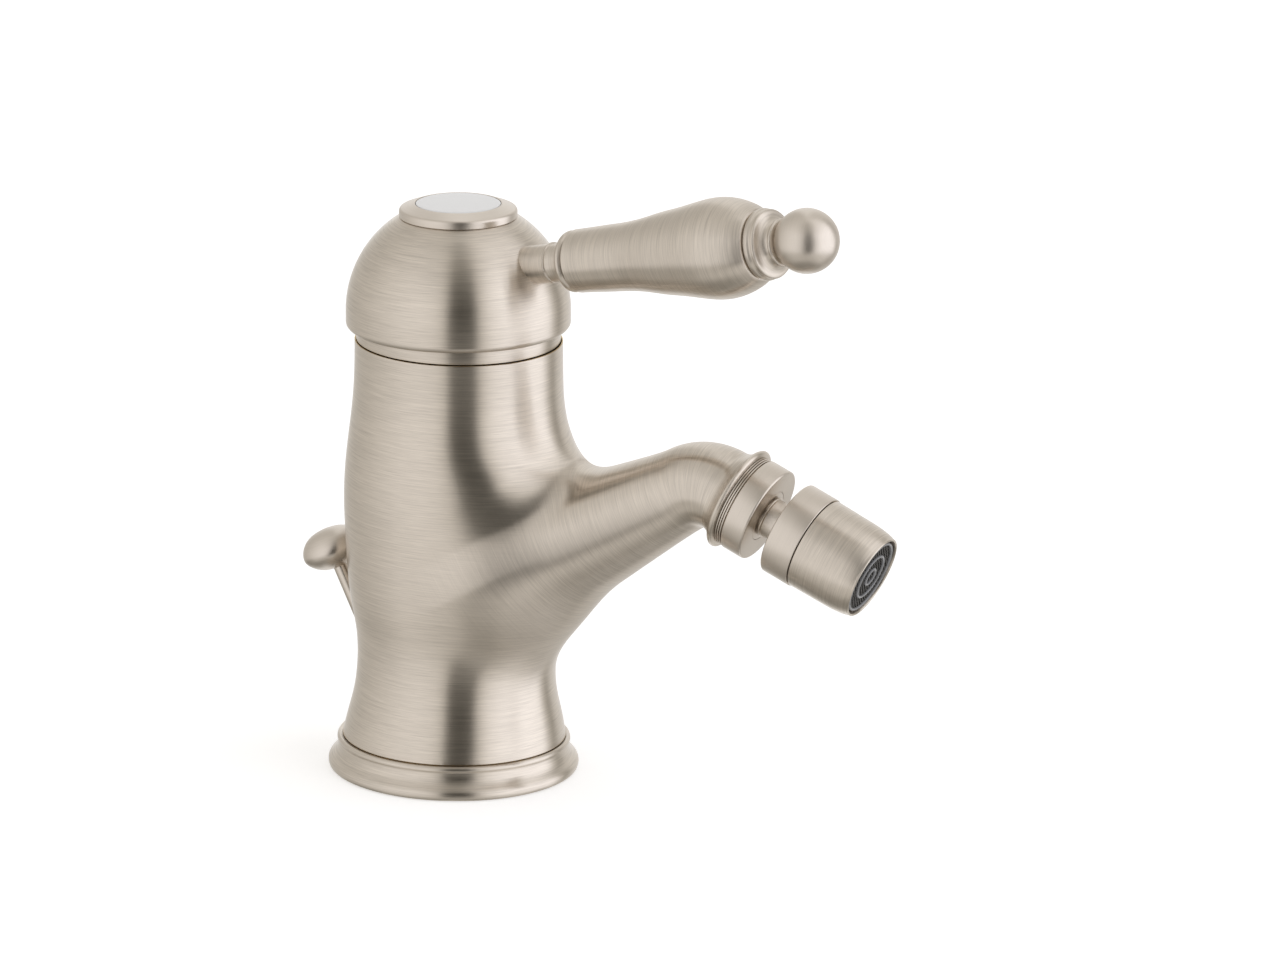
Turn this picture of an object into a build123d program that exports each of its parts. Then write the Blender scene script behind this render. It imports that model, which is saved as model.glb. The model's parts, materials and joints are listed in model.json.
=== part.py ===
"""Single-lever bidet mixer with a swivelling aerator and a pop-up waste rod.

Millimetres. The origin is the centre of the base ring's underside, +Z is up and +X points
along the spout. The lever points a little to the -Y side of the spout, as it was left.
"""

from build123d import *
from math import cos, radians, sin, sqrt, tan
import os

# Clearances and small common sizes
SEAT_GAP = 0.03        # radial gap between fixed pieces that nest
RUNNING_GAP = 0.05     # radial gap of a pin or shaft that turns or slides
SEAM_GAP = 0.3         # open line that shows between two finished pieces
FREE_GAP = 0.4         # room round a piece that moves past another
OVERRUN = 1.0          # how far a cut runs past the face that it opens
SOFT_EDGE = 0.4        # broken edge of a turned piece

# Body: sections at shares of its height, with a gentle swell towards the spout
BASE_HEIGHT = 8.5
BODY_TOP_Z = 110.2
BELLY_R = 27.95
FRONT_SWELL = 6.0
SWELL_SHARPNESS = 3    # higher keeps the swell closer to the spout's side
BODY_STATION_SHARES = (0, 0.05, 0.11, 0.18, 0.26, 0.34, 0.42, 0.51, 0.6, 0.69, 0.78, 0.86, 0.93, 1)
BODY_RADIUS_SHARES = (
    0.991, 0.949, 0.897, 0.869, 0.878, 0.928, 0.964,
    0.986, 1, 0.989, 0.956, 0.928, 0.918, 0.918,
)
BODY_SWELL_SHARES = (
    0.05, 0.12, 0.147, 0.215, 0.53, 0.93, 1.05,
    1, 1, 0.82, 0.25, 0.085, 0.075, 0.04,
)
SECTION_POINTS = 20
BODY_NECK_R = BELLY_R * BODY_RADIUS_SHARES[-1]
BODY_WAIST_R = BELLY_R * min(BODY_RADIUS_SHARES)

# Base ring: a lip that stands out from the belly, a cove, a neck and a bead
BASE_LIP_PROUD = 3.3
BASE_LIP_HEIGHT = 3.5
BASE_SOLE_INSET = 1.05
BASE_LIP_INSET = 0.5
BASE_COVE_INSET = 1.35
BASE_COVE_Z = 5.2
BASE_NECK_INSET = 2.55
BASE_NECK_Z = 6.5
BASE_BEAD_PROUD = 0.3
BASE_BEAD_INSET = 0.7
BASE_LIP_R = BELLY_R + BASE_LIP_PROUD
BASE_SOLE_R = BASE_LIP_R - BASE_SOLE_INSET
BASE_LIP_TOP_R = BASE_LIP_R - BASE_LIP_INSET
BASE_COVE_R = BASE_LIP_R - BASE_COVE_INSET
BASE_NECK_R = BASE_LIP_R - BASE_NECK_INSET
BASE_BEAD_R = BASE_NECK_R + BASE_BEAD_PROUD
BASE_BEAD_TOP_R = BASE_BEAD_R - BASE_BEAD_INSET
SPIGOT_INSET = 1.85    # the ring's bore inside the belly
BASE_BORE_R = BELLY_R - SPIGOT_INSET

# Gasket in the groove under the body
GASKET_INSET = 0.7
GASKET_WIDTH = 2.0
GASKET_HEIGHT = 2.4
GASKET_OUTER_R = BASE_BORE_R - GASKET_INSET
GASKET_INNER_R = GASKET_OUTER_R - GASKET_WIDTH
SPIGOT_LIFT = 0.6      # the body's lowest edge above the deck

# Cartridge: heights of its pieces and how far each stands inside the next one out
CASE_TOP_DEPTH = 6.2   # the case's shoulder under the body's top edge
CASE_ROOF = 2.1
CASE_NECK_HEIGHT = 3.5
CASE_ROOM = 0.2
CASE_WALL = 2.0
CASE_SHOULDER = 3.2
CASE_NECK_WALL = 2.75
GUIDE_FLANGE_HEIGHT = 3.0
GUIDE_HEAD = 3.7       # the guide's top above the pin
CARRIER_ROOM = 0.6
CARRIER_HEIGHT = 4.5
CARRIER_OFFSET = 2.2   # the disc's centre behind the stem's tip
CARRIER_LAP = 0.1
SLIDER_HEIGHT = 3.5
SLIDER_ROOM = 3.4      # travel of the moving disc inside the case
DISC_HEIGHT = 4.0
PLUG_HEIGHT = 4.0
BASE_PLATE_HEIGHT = 2.5
SEAL_PROUD = 0.5
SEAL_PORT_R = 3.0
SEAL_WIDTH = 1.4
SEAL_DEPTH = 1.2
DISC_PORT_R = 2.4
DISC_INLET_X_SHARE = 0.2533
DISC_INLET_Y_SHARE = 0.3467
DISC_OUTLET_SHARE = 0.32
MIXING_SHARE = 0.4667  # hollow under the moving disc
MIXING_OFFSET_SHARE = 0.3167

# Cartridge nut
NUT_SEAT_HEIGHT = 4.5
NUT_ROOM = 1.0         # under the nut, so that it clamps the case
NUT_HEX_SHARE = 1.682  # width across flats as a share of the trim ring's bore radius
NUT_HEX_HEIGHT = 5.2

# Bores of the body, from the top edge down
RING_BORE_DEPTH = 3.4
RING_WALL = 2.36
RING_LEDGE = 3.85
NUT_LEDGE = 1.85
RING_BORE_R = BODY_NECK_R - RING_WALL
RING_BORE_Z = BODY_TOP_Z - RING_BORE_DEPTH
NUT_BORE_R = RING_BORE_R - RING_LEDGE
NUT_R = NUT_BORE_R - RUNNING_GAP
CHAMBER_R = NUT_BORE_R - NUT_LEDGE
CASE_R = CHAMBER_R - CASE_ROOM
CASE_INNER_R = CASE_R - CASE_WALL
CASE_NECK_R = CASE_R - CASE_SHOULDER
GUIDE_R = CASE_NECK_R - CASE_NECK_WALL
GUIDE_FLANGE_R = CASE_INNER_R - FREE_GAP
DISC_R = CASE_INNER_R - FREE_GAP
SLIDER_R = CASE_INNER_R - SLIDER_ROOM
CARRIER_R = SLIDER_R + CARRIER_LAP
CASE_TOP_Z = BODY_TOP_Z - CASE_TOP_DEPTH
CASE_NECK_Z = CASE_TOP_Z + CASE_NECK_HEIGHT
NUT_BORE_Z = CASE_TOP_Z - NUT_SEAT_HEIGHT - NUT_ROOM
GUIDE_Z = CASE_TOP_Z - CASE_ROOF - GUIDE_FLANGE_HEIGHT - SEAM_GAP
CARRIER_Z = GUIDE_Z - CARRIER_ROOM - CARRIER_HEIGHT
SLIDER_Z = CARRIER_Z - SLIDER_HEIGHT
DISC_Z = SLIDER_Z - DISC_HEIGHT
PLUG_Z = DISC_Z - PLUG_HEIGHT
PLATE_Z = PLUG_Z - BASE_PLATE_HEIGHT
CHAMBER_Z = PLATE_Z - SEAL_PROUD

# Foot cavity and the block between it and the cartridge
CAVITY_WALL = 3.99     # at the body's waist
CAVITY_TAPER_Z = 15.0
BLOCK_THICKNESS = 37.0
CAVITY_MOUTH_R = GASKET_INNER_R - FREE_GAP
CAVITY_R = BODY_WAIST_R - CAVITY_WALL
BLOCK_Z = CHAMBER_Z - BLOCK_THICKNESS

# Ports in the block: the inlets stand towards the spout, the outlet behind them
INLET_X_SHARE = 0.31253
INLET_Y_SHARE = 0.48869
OUTLET_SHARE = 0.54551
INLET_THREAD_R = 4.5   # tapping size of M10x1
INLET_DEPTH = 12.0
PASSAGE_R = 3.0
CROSSING_R = 4.0       # level passage from the outlet to the spout, between the two inlets
CROSSING_DEPTH = 19.0
INLET_X = CHAMBER_R * INLET_X_SHARE
INLET_Y = CHAMBER_R * INLET_Y_SHARE
OUTLET_X = -CHAMBER_R * OUTLET_SHARE
CROSSING_Z = CHAMBER_Z - CROSSING_DEPTH
STUD_SHARE = 0.73897
STUD_THREAD_R = 3.4    # tapping size of M8
STUD_DEPTH = 15.0
STUD_BOSS_R = 5.6
STUD_BOSS_HEIGHT = 17.0
STUD_X = CAVITY_R * STUD_SHARE
STUD_BOSS_Z = BLOCK_Z - STUD_BOSS_HEIGHT

# Spout: flange centre, directions and radii
FLANGE_X = 77.13
FLANGE_DEPTH = 29.49   # the flange's centre under the body's top edge
END_FALL = 22.05       # degrees below the horizontal at the flange
SPOUT_RISE = 30.1      # degrees above the horizontal along the root
INNER_BEND_R = 1.5     # hollow side of the bend
ARCH_SETBACK = 3.1     # from the bend's end to the flange's centre
TUBE_R = 10.5
ROOT_START_SHARE = 0.54689  # where the root starts inside the belly
ROOT_GROWTH = 7.9      # how much wider the root starts than the tube
ROOT_STATION_SHARES = (1.0, 0.75, 0.54, 0.32, 0.14, 0.0)
ROOT_SWELL_SHARES = (1.0, 0.74, 0.52, 0.295, 0.095, 0.0)
BLEND_R = 12.0         # fillet between spout and body
SPOUT_WALL = 4.9
FLANGE_PROUD = 2.8
FLANGE_THICKNESS = 2.2
THREAD_WALL = 1.3
SPOUT_THREAD_DEPTH = 7.0
FLANGE_Z = BODY_TOP_Z - FLANGE_DEPTH
ARCH_R = TUBE_R + INNER_BEND_R  # bend of the centre line
WATERWAY_R = TUBE_R - SPOUT_WALL
FLANGE_R = TUBE_R + FLANGE_PROUD
SPOUT_THREAD_R = TUBE_R - THREAD_WALL

# Trim ring
TRIM_STEP = 0.36       # how far it stands inside the body's top edge
TRIM_PROUD = 4.2
TRIM_SPIGOT_WALL = 1.9
TRIM_R = BODY_NECK_R - TRIM_STEP
TRIM_TOP_Z = BODY_TOP_Z + TRIM_PROUD
TRIM_BORE_R = RING_BORE_R - TRIM_SPIGOT_WALL

# Lever stem and its pin
PIN_R = 1.5
PIN_LIFT = 0.5         # the pin's underside above the case
PIN_INSET = 0.95
TIP_R = 2.6
TIP_SOCKET_R = 2.85
STEM_NECK_R = 1.8
STEM_WIDTH = 7.0
STEM_THICKNESS = 5.6
STEM_HEADROOM = 6.1    # from the stem's top to the dome's floor
STEM_SLOT_GAP = 0.3
LIFT_TRAVEL = 20.0     # degrees from shut to fully open
LIFT_SHOWN = 0.9       # degrees that the lever stands above shut
LEVER_TURN = 9.3       # degrees from the spout towards -Y
PIVOT_Z = CASE_NECK_Z + PIN_R + PIN_LIFT
GUIDE_TOP_Z = PIVOT_Z + GUIDE_HEAD
TIP_Z = CARRIER_Z + TIP_R + FREE_GAP
STEM_REACH = PIVOT_Z - TIP_Z
SLOT_LOW = GUIDE_Z - OVERRUN

# Dome
DOME_OVERHANG = 2.14   # beyond the body's top edge
DOME_LIFT = 3.3        # the rim above the body's top edge
DOME_SKIRT = 4.1       # straight stretch under the round crown
DOME_WALL = 1.7
DOME_RIM_ROUND = 1.5
DOME_HUB_R = 8.6
DOME_HUB_LIFT = 2.0
DOME_FLOOR_SHARE = 0.669
DOME_FLOOR_THICKNESS = 3.0
DOME_RECESS_DEPTH = 1.85
DOME_ARM_R = 7.4       # inner boss that the lever screws into
DOME_R = BODY_NECK_R + DOME_OVERHANG
DOME_RIM_Z = BODY_TOP_Z + DOME_LIFT
DOME_CENTRE_Z = DOME_RIM_Z + DOME_SKIRT
DOME_HUB_Z = DOME_CENTRE_Z + DOME_HUB_LIFT
DOME_FLOOR_R = DOME_R * DOME_FLOOR_SHARE

# Cap ring, disc and the screw under it
CAP_SHARE = 0.52521    # of the dome's radius
CAP_OVERHANG = 0.316   # beyond the flat that it sits on
CAP_SPIGOT_INSET = 1.0
CAP_SIDE_HEIGHT = 1.3
CAP_HEIGHT = 3.3
CAP_SLOPE_INSET = 0.7
CAP_SLOPE_DROP = 1.15
CAP_SLOPE_WIDTH = 4.0
DISC_LEDGE = 1.4
INDEX_GAP = 0.15
INDEX_THICKNESS = 2.3
INDEX_CROWN = 0.15
SCREW_R = 2.5
SCREW_HEAD_R = 4.2
SCREW_HEAD_HEIGHT = 2.4
SCREW_LENGTH = 18.0
SCREW_KEY_ACROSS = 4.0
SCREW_KEY_DEPTH = 1.5
CAP_R = DOME_R * CAP_SHARE
CAP_SEAT_Z = DOME_CENTRE_Z + sqrt(DOME_R ** 2 - (CAP_R - CAP_OVERHANG) ** 2)
CAP_TOP_Z = CAP_SEAT_Z + CAP_HEIGHT
CAP_SLOPE_R = CAP_R - CAP_SLOPE_INSET
DISC_SEAT_R = CAP_R - CAP_SLOPE_WIDTH
CAP_BORE_R = DISC_SEAT_R - DISC_LEDGE
INDEX_R = DISC_SEAT_R - INDEX_GAP
DOME_RECESS_R = CAP_R - CAP_SPIGOT_INSET
DOME_FLOOR_Z = CAP_SEAT_Z - DOME_RECESS_DEPTH - DOME_FLOOR_THICKNESS
STEM_TOP_Z = DOME_FLOOR_Z - STEM_HEADROOM

# Lever, measured along its own axis from the Z axis
LEVER_CROSS_SHARE = 0.34822  # height where it leaves the dome, as a share of the dome's radius
LEVER_RISE = 12.77     # degrees above the horizontal when shut
NECK_SEAT_DEPTH = 8.3
NECK_STUD_R = 4.0
NECK_STUD_LENGTH = 7.0
NECK_R = 5.4
NECK_BEAD_R = 5.75
NECK_BEAD_REACH = 2.5  # outside the dome
NECK_BEAD_WIDTH = 0.7
NECK_WAIST_R = 4.7
NECK_WAIST_STEP = 3.3
NECK_FLARE_LENGTH = 3.74
NECK_RING_R = 7.6
NECK_RING_WIDTH = 1.9
NECK_SPIGOT_R = 6.0
NECK_SPIGOT_LENGTH = 2.2
TIE_R = 3.0
GRIP_LENGTH = 55.9
GRIP_START_R = 7.8
GRIP_WAIST_R = 8.05
GRIP_SWELL_R = 12.4
GRIP_END_R = 8.6
GRIP_STATION_SHARES = (0.17, 0.37, 0.57, 0.79, 0.92)
GRIP_SWELL_SHARES = (0.03, 0.22, 0.62, 1.0, 0.66)
COLLAR_BEAD_R = 8.75
COLLAR_BEAD_WIDTH = 2.2
COLLAR_COVE_R = 5.1
COLLAR_COVE_LENGTH = 3.4
COLLAR_RING_R = 5.75
COLLAR_RING_WIDTH = 1.1
BALL_R = 7.95
BALL_SETBACK = 6.6     # from the collar's end to the ball's centre
BALL_NECK_R = 4.7
LEVER_CROSS_Z = DOME_CENTRE_Z + DOME_R * LEVER_CROSS_SHARE
SOCKET_LOW_Z = min(DOME_HUB_Z, LEVER_CROSS_Z - DOME_ARM_R) - OVERRUN  # under the hub and the arm
NECK_SEAT_S = DOME_R - NECK_SEAT_DEPTH
NECK_STUD_S = NECK_SEAT_S - NECK_STUD_LENGTH
NECK_BEAD_S = DOME_R + NECK_BEAD_REACH
NECK_WAIST_S = NECK_BEAD_S + NECK_WAIST_STEP
SEAM_S = NECK_WAIST_S + NECK_FLARE_LENGTH
TIE_START_S = NECK_BEAD_S - SEAM_GAP

# Ball joint on the spout's end, measured along its axis from the flange's centre
SWIVEL_STEP = 1.2      # inside the flange's edge
SWIVEL_WIDTH = 5.7
SWIVEL_GROOVE_DEPTH = 0.55
SWIVEL_GROOVE_COUNT = 3
SWIVEL_GROOVE_LENGTH = 1.4
SWIVEL_CHAMFER = 0.6
FACE_RECESS_INSET = 1.2
FACE_RECESS_DEPTH = 0.3
THREAD_GAP = 0.05
BALL_SETTING = 1.7     # the joint's ball inside the thread
JOINT_DEPTH = 5.3      # the ball's centre behind the collar's face
JOINT_LIP = 3.0        # how far the lip stands in front of the ball's centre
JOINT_BACK_SHARE = 0.8
SEAT_SETTING = 0.65
SEAT_BACK = 5.0
SEAT_FRONT = 0.2
SEAT_MOUTH_SHARE = 0.6933
SEAL_MOUTH_SHARE = 0.8
STEM_PIPE_SHARE = 0.6667
STEM_WALL = 1.8
STEM_GROOVE_SETBACK = 2.5
STEM_GROOVE_WIDTH = 0.6
STEM_GROOVE_DEPTH = 0.45
STEM_HEAD_PROUD = 2.0
STEM_HEAD_HEIGHT = 1.5
SWIVEL_R = FLANGE_R - SWIVEL_STEP
SWIVEL_GROOVE_R = SWIVEL_R - SWIVEL_GROOVE_DEPTH
FACE_RECESS_R = SWIVEL_R - FACE_RECESS_INSET
SWIVEL_START = FLANGE_THICKNESS + SWIVEL_GROOVE_LENGTH
SWIVEL_FACE = SWIVEL_START + SWIVEL_WIDTH
JOINT_BALL_R = SPOUT_THREAD_R - BALL_SETTING
JOINT_CENTRE = SWIVEL_FACE - JOINT_DEPTH
SEAT_R = SPOUT_THREAD_R - SEAT_SETTING
STEM_PIPE_R = JOINT_BALL_R * STEM_PIPE_SHARE
STEM_BORE_R = STEM_PIPE_R - STEM_WALL
STEM_HEAD_R = STEM_PIPE_R + STEM_HEAD_PROUD

# Aerator, measured along the same axis
AERATOR_REACH = 5.8    # its back in front of the swivel collar's face
AERATOR_COLLAR_R = 12.0
AERATOR_COLLAR_LENGTH = 7.7
AERATOR_COLLAR_WALL = 1.75
AERATOR_EDGE = 0.3
AERATOR_WALL = 2.0
AERATOR_LENGTH = 25.0
CAP_LIP_GAP = 0.35
CAP_STEP = 0.25        # the cap inside the collar's edge
CAP_TAPER = 0.2
MOUTH_INSET = 1.1
CAP_WALL = 1.75
ROUND_LENGTH = 3.5
AERATOR_NECK_LENGTH = 2.3
AERATOR_NECK_WALL = 1.1
INSERT_GAP = 0.15
INSERT_WALL = 0.9
INSERT_LENGTH = 14.1
INSERT_SETBACK = 1.2   # the insert's face inside the mouth
RING_DEPTH = 1.6
RING_WIDTH = 0.7
RING_SHARES = (0.72, 0.43)
INSERT_HUB_R = 1.3
SPOKE_COUNT = 6
SPOKE_WIDTH = 0.6
MESH_THICKNESS = 0.4
WASHER_WIDTH = 4.62
WASHER_THICKNESS = 1.4
AERATOR_BACK = SWIVEL_FACE + AERATOR_REACH
AERATOR_THREAD_R = AERATOR_COLLAR_R - AERATOR_COLLAR_WALL
AERATOR_CAP_R = AERATOR_COLLAR_R - CAP_STEP
AERATOR_CAP_WAIST_R = AERATOR_CAP_R - CAP_TAPER
AERATOR_MOUTH_R = AERATOR_CAP_R - MOUTH_INSET
AERATOR_CAP_BORE_R = AERATOR_CAP_R - CAP_WALL
AERATOR_CAP_END = AERATOR_BACK + AERATOR_LENGTH
AERATOR_ROUND_START = AERATOR_CAP_END - ROUND_LENGTH
INSERT_R = AERATOR_CAP_BORE_R - INSERT_GAP
INSERT_END = AERATOR_CAP_END - INSERT_SETBACK
INSERT_START = INSERT_END - INSERT_LENGTH
STEM_GROOVE_AT = AERATOR_BACK - STEM_GROOVE_SETBACK

# Lift rod, its bush and its knob
ROD_REACH = 4.55       # a point on the rod's axis just under the knob, behind the belly
ROD_Z = 46.7
ROD_LEAN = 26.8        # degrees from the vertical
ROD_R = 1.8
ROD_FOOT_Z = 1.6
ROD_TAIL_STEP = 0.3    # the end that the waste's linkage clamps is thinner
ROD_TAIL_LENGTH = 10.0
BUSH_WALL = 1.2
KNOB_R = 7.65
KNOB_HEIGHT = 10.0
KNOB_BELT = 4.7        # widest, above the knob's lowest face
KNOB_COLLAR_R = 2.7
KNOB_COLLAR_HEIGHT = 0.7
KNOB_FLARE_R = 4.6
KNOB_FLARE_HEIGHT = 1.5
KNOB_SOCKET_DEPTH = 5.0
ROD_X = -BELLY_R - ROD_REACH
ROD_TAIL_R = ROD_R - ROD_TAIL_STEP


def at(radius, height):
    """A point of a turned outline, drawn on the -X side of the axis."""
    return (-radius, 0, height)


def turned(*edges):
    """The solid that a closed outline sweeps round the Z axis."""
    return revolve(Face(Wire(list(edges))), Axis.Z, 360).solid()


def turned_lines(*points):
    """A turned solid whose outline is straight from point to point."""
    corners = [at(radius, height) for radius, height in points]
    return revolve(Face(Wire(Polyline(*corners, close=True).edges())), Axis.Z, 360).solid()


def disc(radius, low, high):
    """A round slab on the Z axis between two heights."""
    return turned_lines((0, low), (radius, low), (radius, high), (0, high))


def tube(outer, inner, low, high):
    """A ring on the Z axis between two heights."""
    return turned_lines((inner, low), (outer, low), (outer, high), (inner, high))


def prism(across_x, across_y, low, high):
    """A rectangular bar along Z between two heights."""
    return Pos(0, 0, (low + high) / 2) * Box(across_x, across_y, high - low)


def hexagon(across, low, height):
    """A hexagonal bar on the Z axis, of a width across its flats."""
    outline = Pos(0, 0, low) * RegularPolygon(across / 2, 6, major_radius=False)
    return single(extrude(outline, height))


def duct(start, end, radius, extra):
    """A round bar between two points, longer by an extra length at both ends."""
    run = end - start
    heading = run.normalized()
    place = Plane(origin=start - heading * extra, z_dir=heading)
    return Solid.make_cylinder(radius, run.length + 2 * extra, place)


def rims(solid, radius, height):
    """The round edges of a turned solid at one radius and height."""
    tolerance = SEAT_GAP / 2
    found = []
    for edge in solid.edges().filter_by(GeomType.CIRCLE):
        if abs(edge.radius - radius) < tolerance and abs(edge.arc_center.Z - height) < tolerance:
            found.append(edge)
    return found


def single(shape):
    """The one solid that a shape holds."""
    return shape.solid()


# Places: the lever, the spout's end and the rod each have an axis of their own
PIVOT_AXIS = Axis((0, 0, PIVOT_Z), (0, -1, 0))
UPRIGHT_AXIS = Axis((0, 0, 0), (0, 0, 1))
LEVER_PLANE = Plane(
    origin=(0, 0, LEVER_CROSS_Z),
    x_dir=(0, 1, 0),
    z_dir=(cos(radians(LEVER_RISE)), 0, sin(radians(LEVER_RISE))),
)
END_DIRECTION = Vector(cos(radians(END_FALL)), 0, -sin(radians(END_FALL)))
FLANGE_CENTRE = Vector(FLANGE_X, 0, FLANGE_Z)
END_PLANE = Plane(origin=FLANGE_CENTRE, x_dir=(0, 1, 0), z_dir=END_DIRECTION)
ROD_DIRECTION = Vector(-sin(radians(ROD_LEAN)), 0, cos(radians(ROD_LEAN)))
ROD_PLANE = Plane(origin=(ROD_X, 0, ROD_Z), x_dir=(0, 1, 0), z_dir=ROD_DIRECTION)


def as_turned(shape):
    """Turn a piece from the spout's direction to the lever's."""
    return single(shape).rotate(UPRIGHT_AXIS, -LEVER_TURN)


def as_lifted(shape):
    """Tip a piece of the handle about the pin, then turn it with the lever."""
    return as_turned(single(shape).rotate(PIVOT_AXIS, LIFT_SHOWN))


def on_lever(shape):
    """Move a piece turned about Z onto the lever's axis, as the lever stands."""
    return as_lifted(LEVER_PLANE.location * shape)


def on_spout_end(shape):
    """Move a piece turned about Z onto the axis of the spout's end."""
    return single(END_PLANE.location * shape)


def on_rod(shape):
    """Move a piece turned about Z onto the rod's axis."""
    return single(ROD_PLANE.location * shape)


# Body and spout
def body_section(station, radius_share, swell_share):
    """One level outline of the body, fuller on the spout's side."""
    height = BASE_HEIGHT + (BODY_TOP_Z - BASE_HEIGHT) * station
    points = []
    for index in range(SECTION_POINTS):
        angle = radians(360 / SECTION_POINTS * index + 180)
        reach = BELLY_R * radius_share + FRONT_SWELL * swell_share * max(0, cos(angle)) ** SWELL_SHARPNESS
        points.append(Vector(reach * cos(angle), reach * sin(angle), height))
    return Wire([Edge.make_spline(points, periodic=True)])


def body_outline():
    """The body's outside, lofted through its level outlines."""
    sections = []
    for shares in zip(BODY_STATION_SHARES, BODY_RADIUS_SHARES, BODY_SWELL_SHARES):
        sections.append(body_section(*shares))
    return Solid.make_loft(sections, ruled=False)


def arch_centre():
    """Centre of the bend in the spout's centre line."""
    end = FLANGE_CENTRE - END_DIRECTION * ARCH_SETBACK
    return end + Vector(-sin(radians(END_FALL)), 0, -cos(radians(END_FALL))) * ARCH_R


def root_plane(distance):
    """A cross-section of the straight root, a distance back from the bend."""
    rise = radians(SPOUT_RISE)
    heading = Vector(cos(rise), 0, sin(rise))
    start = arch_centre() + Vector(-sin(rise), 0, cos(rise)) * ARCH_R
    return Plane(origin=start - heading * distance, x_dir=(0, 1, 0), z_dir=heading)


ROOT_R = TUBE_R + ROOT_GROWTH
ROOT_LENGTH = (root_plane(0).origin.X - BELLY_R * ROOT_START_SHARE) / cos(radians(SPOUT_RISE))


def round_face(plane, radius):
    """A round section on a plane."""
    return Face(Wire([Edge.make_circle(radius, plane=plane)]))


def bend(radius):
    """The bent stretch of the spout at one radius."""
    bend_axis = Axis(arch_centre(), (0, 1, 0))
    return revolve(round_face(root_plane(0), radius), bend_axis, SPOUT_RISE + END_FALL).solid()


def spout_root():
    """The tapering root, lofted through round sections."""
    sections = []
    for station, swell in zip(ROOT_STATION_SHARES, ROOT_SWELL_SHARES):
        radius = TUBE_R + (ROOT_R - TUBE_R) * swell
        sections.append(round_face(root_plane(ROOT_LENGTH * station), radius).outer_wire())
    return Solid.make_loft(sections, ruled=False)


def spout_flange():
    """Flare and rim at the spout's end, on its own axis."""
    back = -ARCH_SETBACK
    flare = Spline(
        at(TUBE_R, back),
        at(FLANGE_R - SOFT_EDGE, 0),
        tangents=[(0, 0, 1), (-1, 0, tan(radians(SPOUT_RISE)))],
    )
    top = FLANGE_THICKNESS
    return turned(
        flare,
        ThreePointArc(
            at(FLANGE_R - SOFT_EDGE, 0),
            at(FLANGE_R, top / 2),
            at(FLANGE_R - SOFT_EDGE, top),
        ),
        Line(at(FLANGE_R - SOFT_EDGE, top), at(0, top)),
        Line(at(0, top), at(0, back)),
        Line(at(0, back), at(TUBE_R, back)),
    )


def mixer_body():
    """Body and spout as one casting, bored for the cartridge, the ports and the rod."""
    outside = body_outline().fuse(spout_root())
    outside = outside.fuse(bend(TUBE_R)).solid()
    joints = []
    for edge in outside.edges():
        middle = edge.center()
        near_root = 0 < middle.X < ROOT_LENGTH and BLOCK_Z < middle.Z < CHAMBER_Z
        if near_root and edge.is_closed:
            joints.append(edge)
    outside = outside.fillet(BLEND_R, joints)
    outside = outside.fuse(on_spout_end(spout_flange())).solid()
    spigot = disc(BASE_BORE_R - SEAT_GAP, SPIGOT_LIFT, BASE_HEIGHT + SOFT_EDGE)
    outside = outside.fuse(spigot).solid()

    cavity = turned_lines(
        (0, 0),
        (CAVITY_MOUTH_R, 0),
        (CAVITY_MOUTH_R, BASE_NECK_Z),
        (CAVITY_R, CAVITY_TAPER_Z),
        (CAVITY_R, BLOCK_Z),
        (0, BLOCK_Z),
    )
    boss = Pos(STUD_X, 0, 0) * disc(STUD_BOSS_R, STUD_BOSS_Z, BLOCK_Z + OVERRUN)
    chamber = turned_lines(
        (0, CHAMBER_Z),
        (CHAMBER_R, CHAMBER_Z),
        (CHAMBER_R, NUT_BORE_Z),
        (NUT_BORE_R, NUT_BORE_Z),
        (NUT_BORE_R, RING_BORE_Z),
        (RING_BORE_R, RING_BORE_Z),
        (RING_BORE_R, BODY_TOP_Z + OVERRUN),
        (0, BODY_TOP_Z + OVERRUN),
    )
    groove = tube(
        GASKET_OUTER_R + SEAT_GAP,
        GASKET_INNER_R - SEAT_GAP,
        0,
        GASKET_HEIGHT,
    )
    body = outside.cut(cavity, groove, chamber).solid()
    body = body.fuse(boss).solid()
    cuts = [Pos(STUD_X, 0, 0) * disc(STUD_THREAD_R, 0, STUD_BOSS_Z + STUD_DEPTH)]
    for side in (-1, 1):
        inlet = Pos(INLET_X, side * INLET_Y, 0)
        cuts.append(inlet * disc(INLET_THREAD_R, BLOCK_Z - OVERRUN, BLOCK_Z + INLET_DEPTH))
        cuts.append(inlet * disc(PASSAGE_R, BLOCK_Z, CHAMBER_Z + OVERRUN))
    waterway = (root_plane(0).origin.X - STUD_X) / cos(radians(SPOUT_RISE))
    cuts.append(root_plane(waterway).location * disc(WATERWAY_R, 0, waterway))
    rise_to_crossing = (root_plane(0).origin.Z - CROSSING_Z) / sin(radians(SPOUT_RISE))
    crossing_end = root_plane(rise_to_crossing).origin
    cuts.append(duct(Vector(OUTLET_X - PASSAGE_R, 0, CROSSING_Z), crossing_end, CROSSING_R, 0))
    cuts.append(Pos(OUTLET_X, 0, 0) * disc(PASSAGE_R, CROSSING_Z, CHAMBER_Z + OVERRUN))
    cuts.append(bend(WATERWAY_R))
    end_bore = disc(WATERWAY_R, -ARCH_SETBACK - SEAT_GAP, FLANGE_THICKNESS)
    cuts.append(on_spout_end(end_bore))
    thread = disc(SPOUT_THREAD_R, FLANGE_THICKNESS - SPOUT_THREAD_DEPTH, FLANGE_THICKNESS + OVERRUN)
    cuts.append(on_spout_end(thread))
    cuts.append(on_rod(rod_hole(ROD_R + BUSH_WALL + SEAT_GAP)))
    for cut in cuts:
        body = body.cut(single(cut)).solid()
    return body


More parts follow.
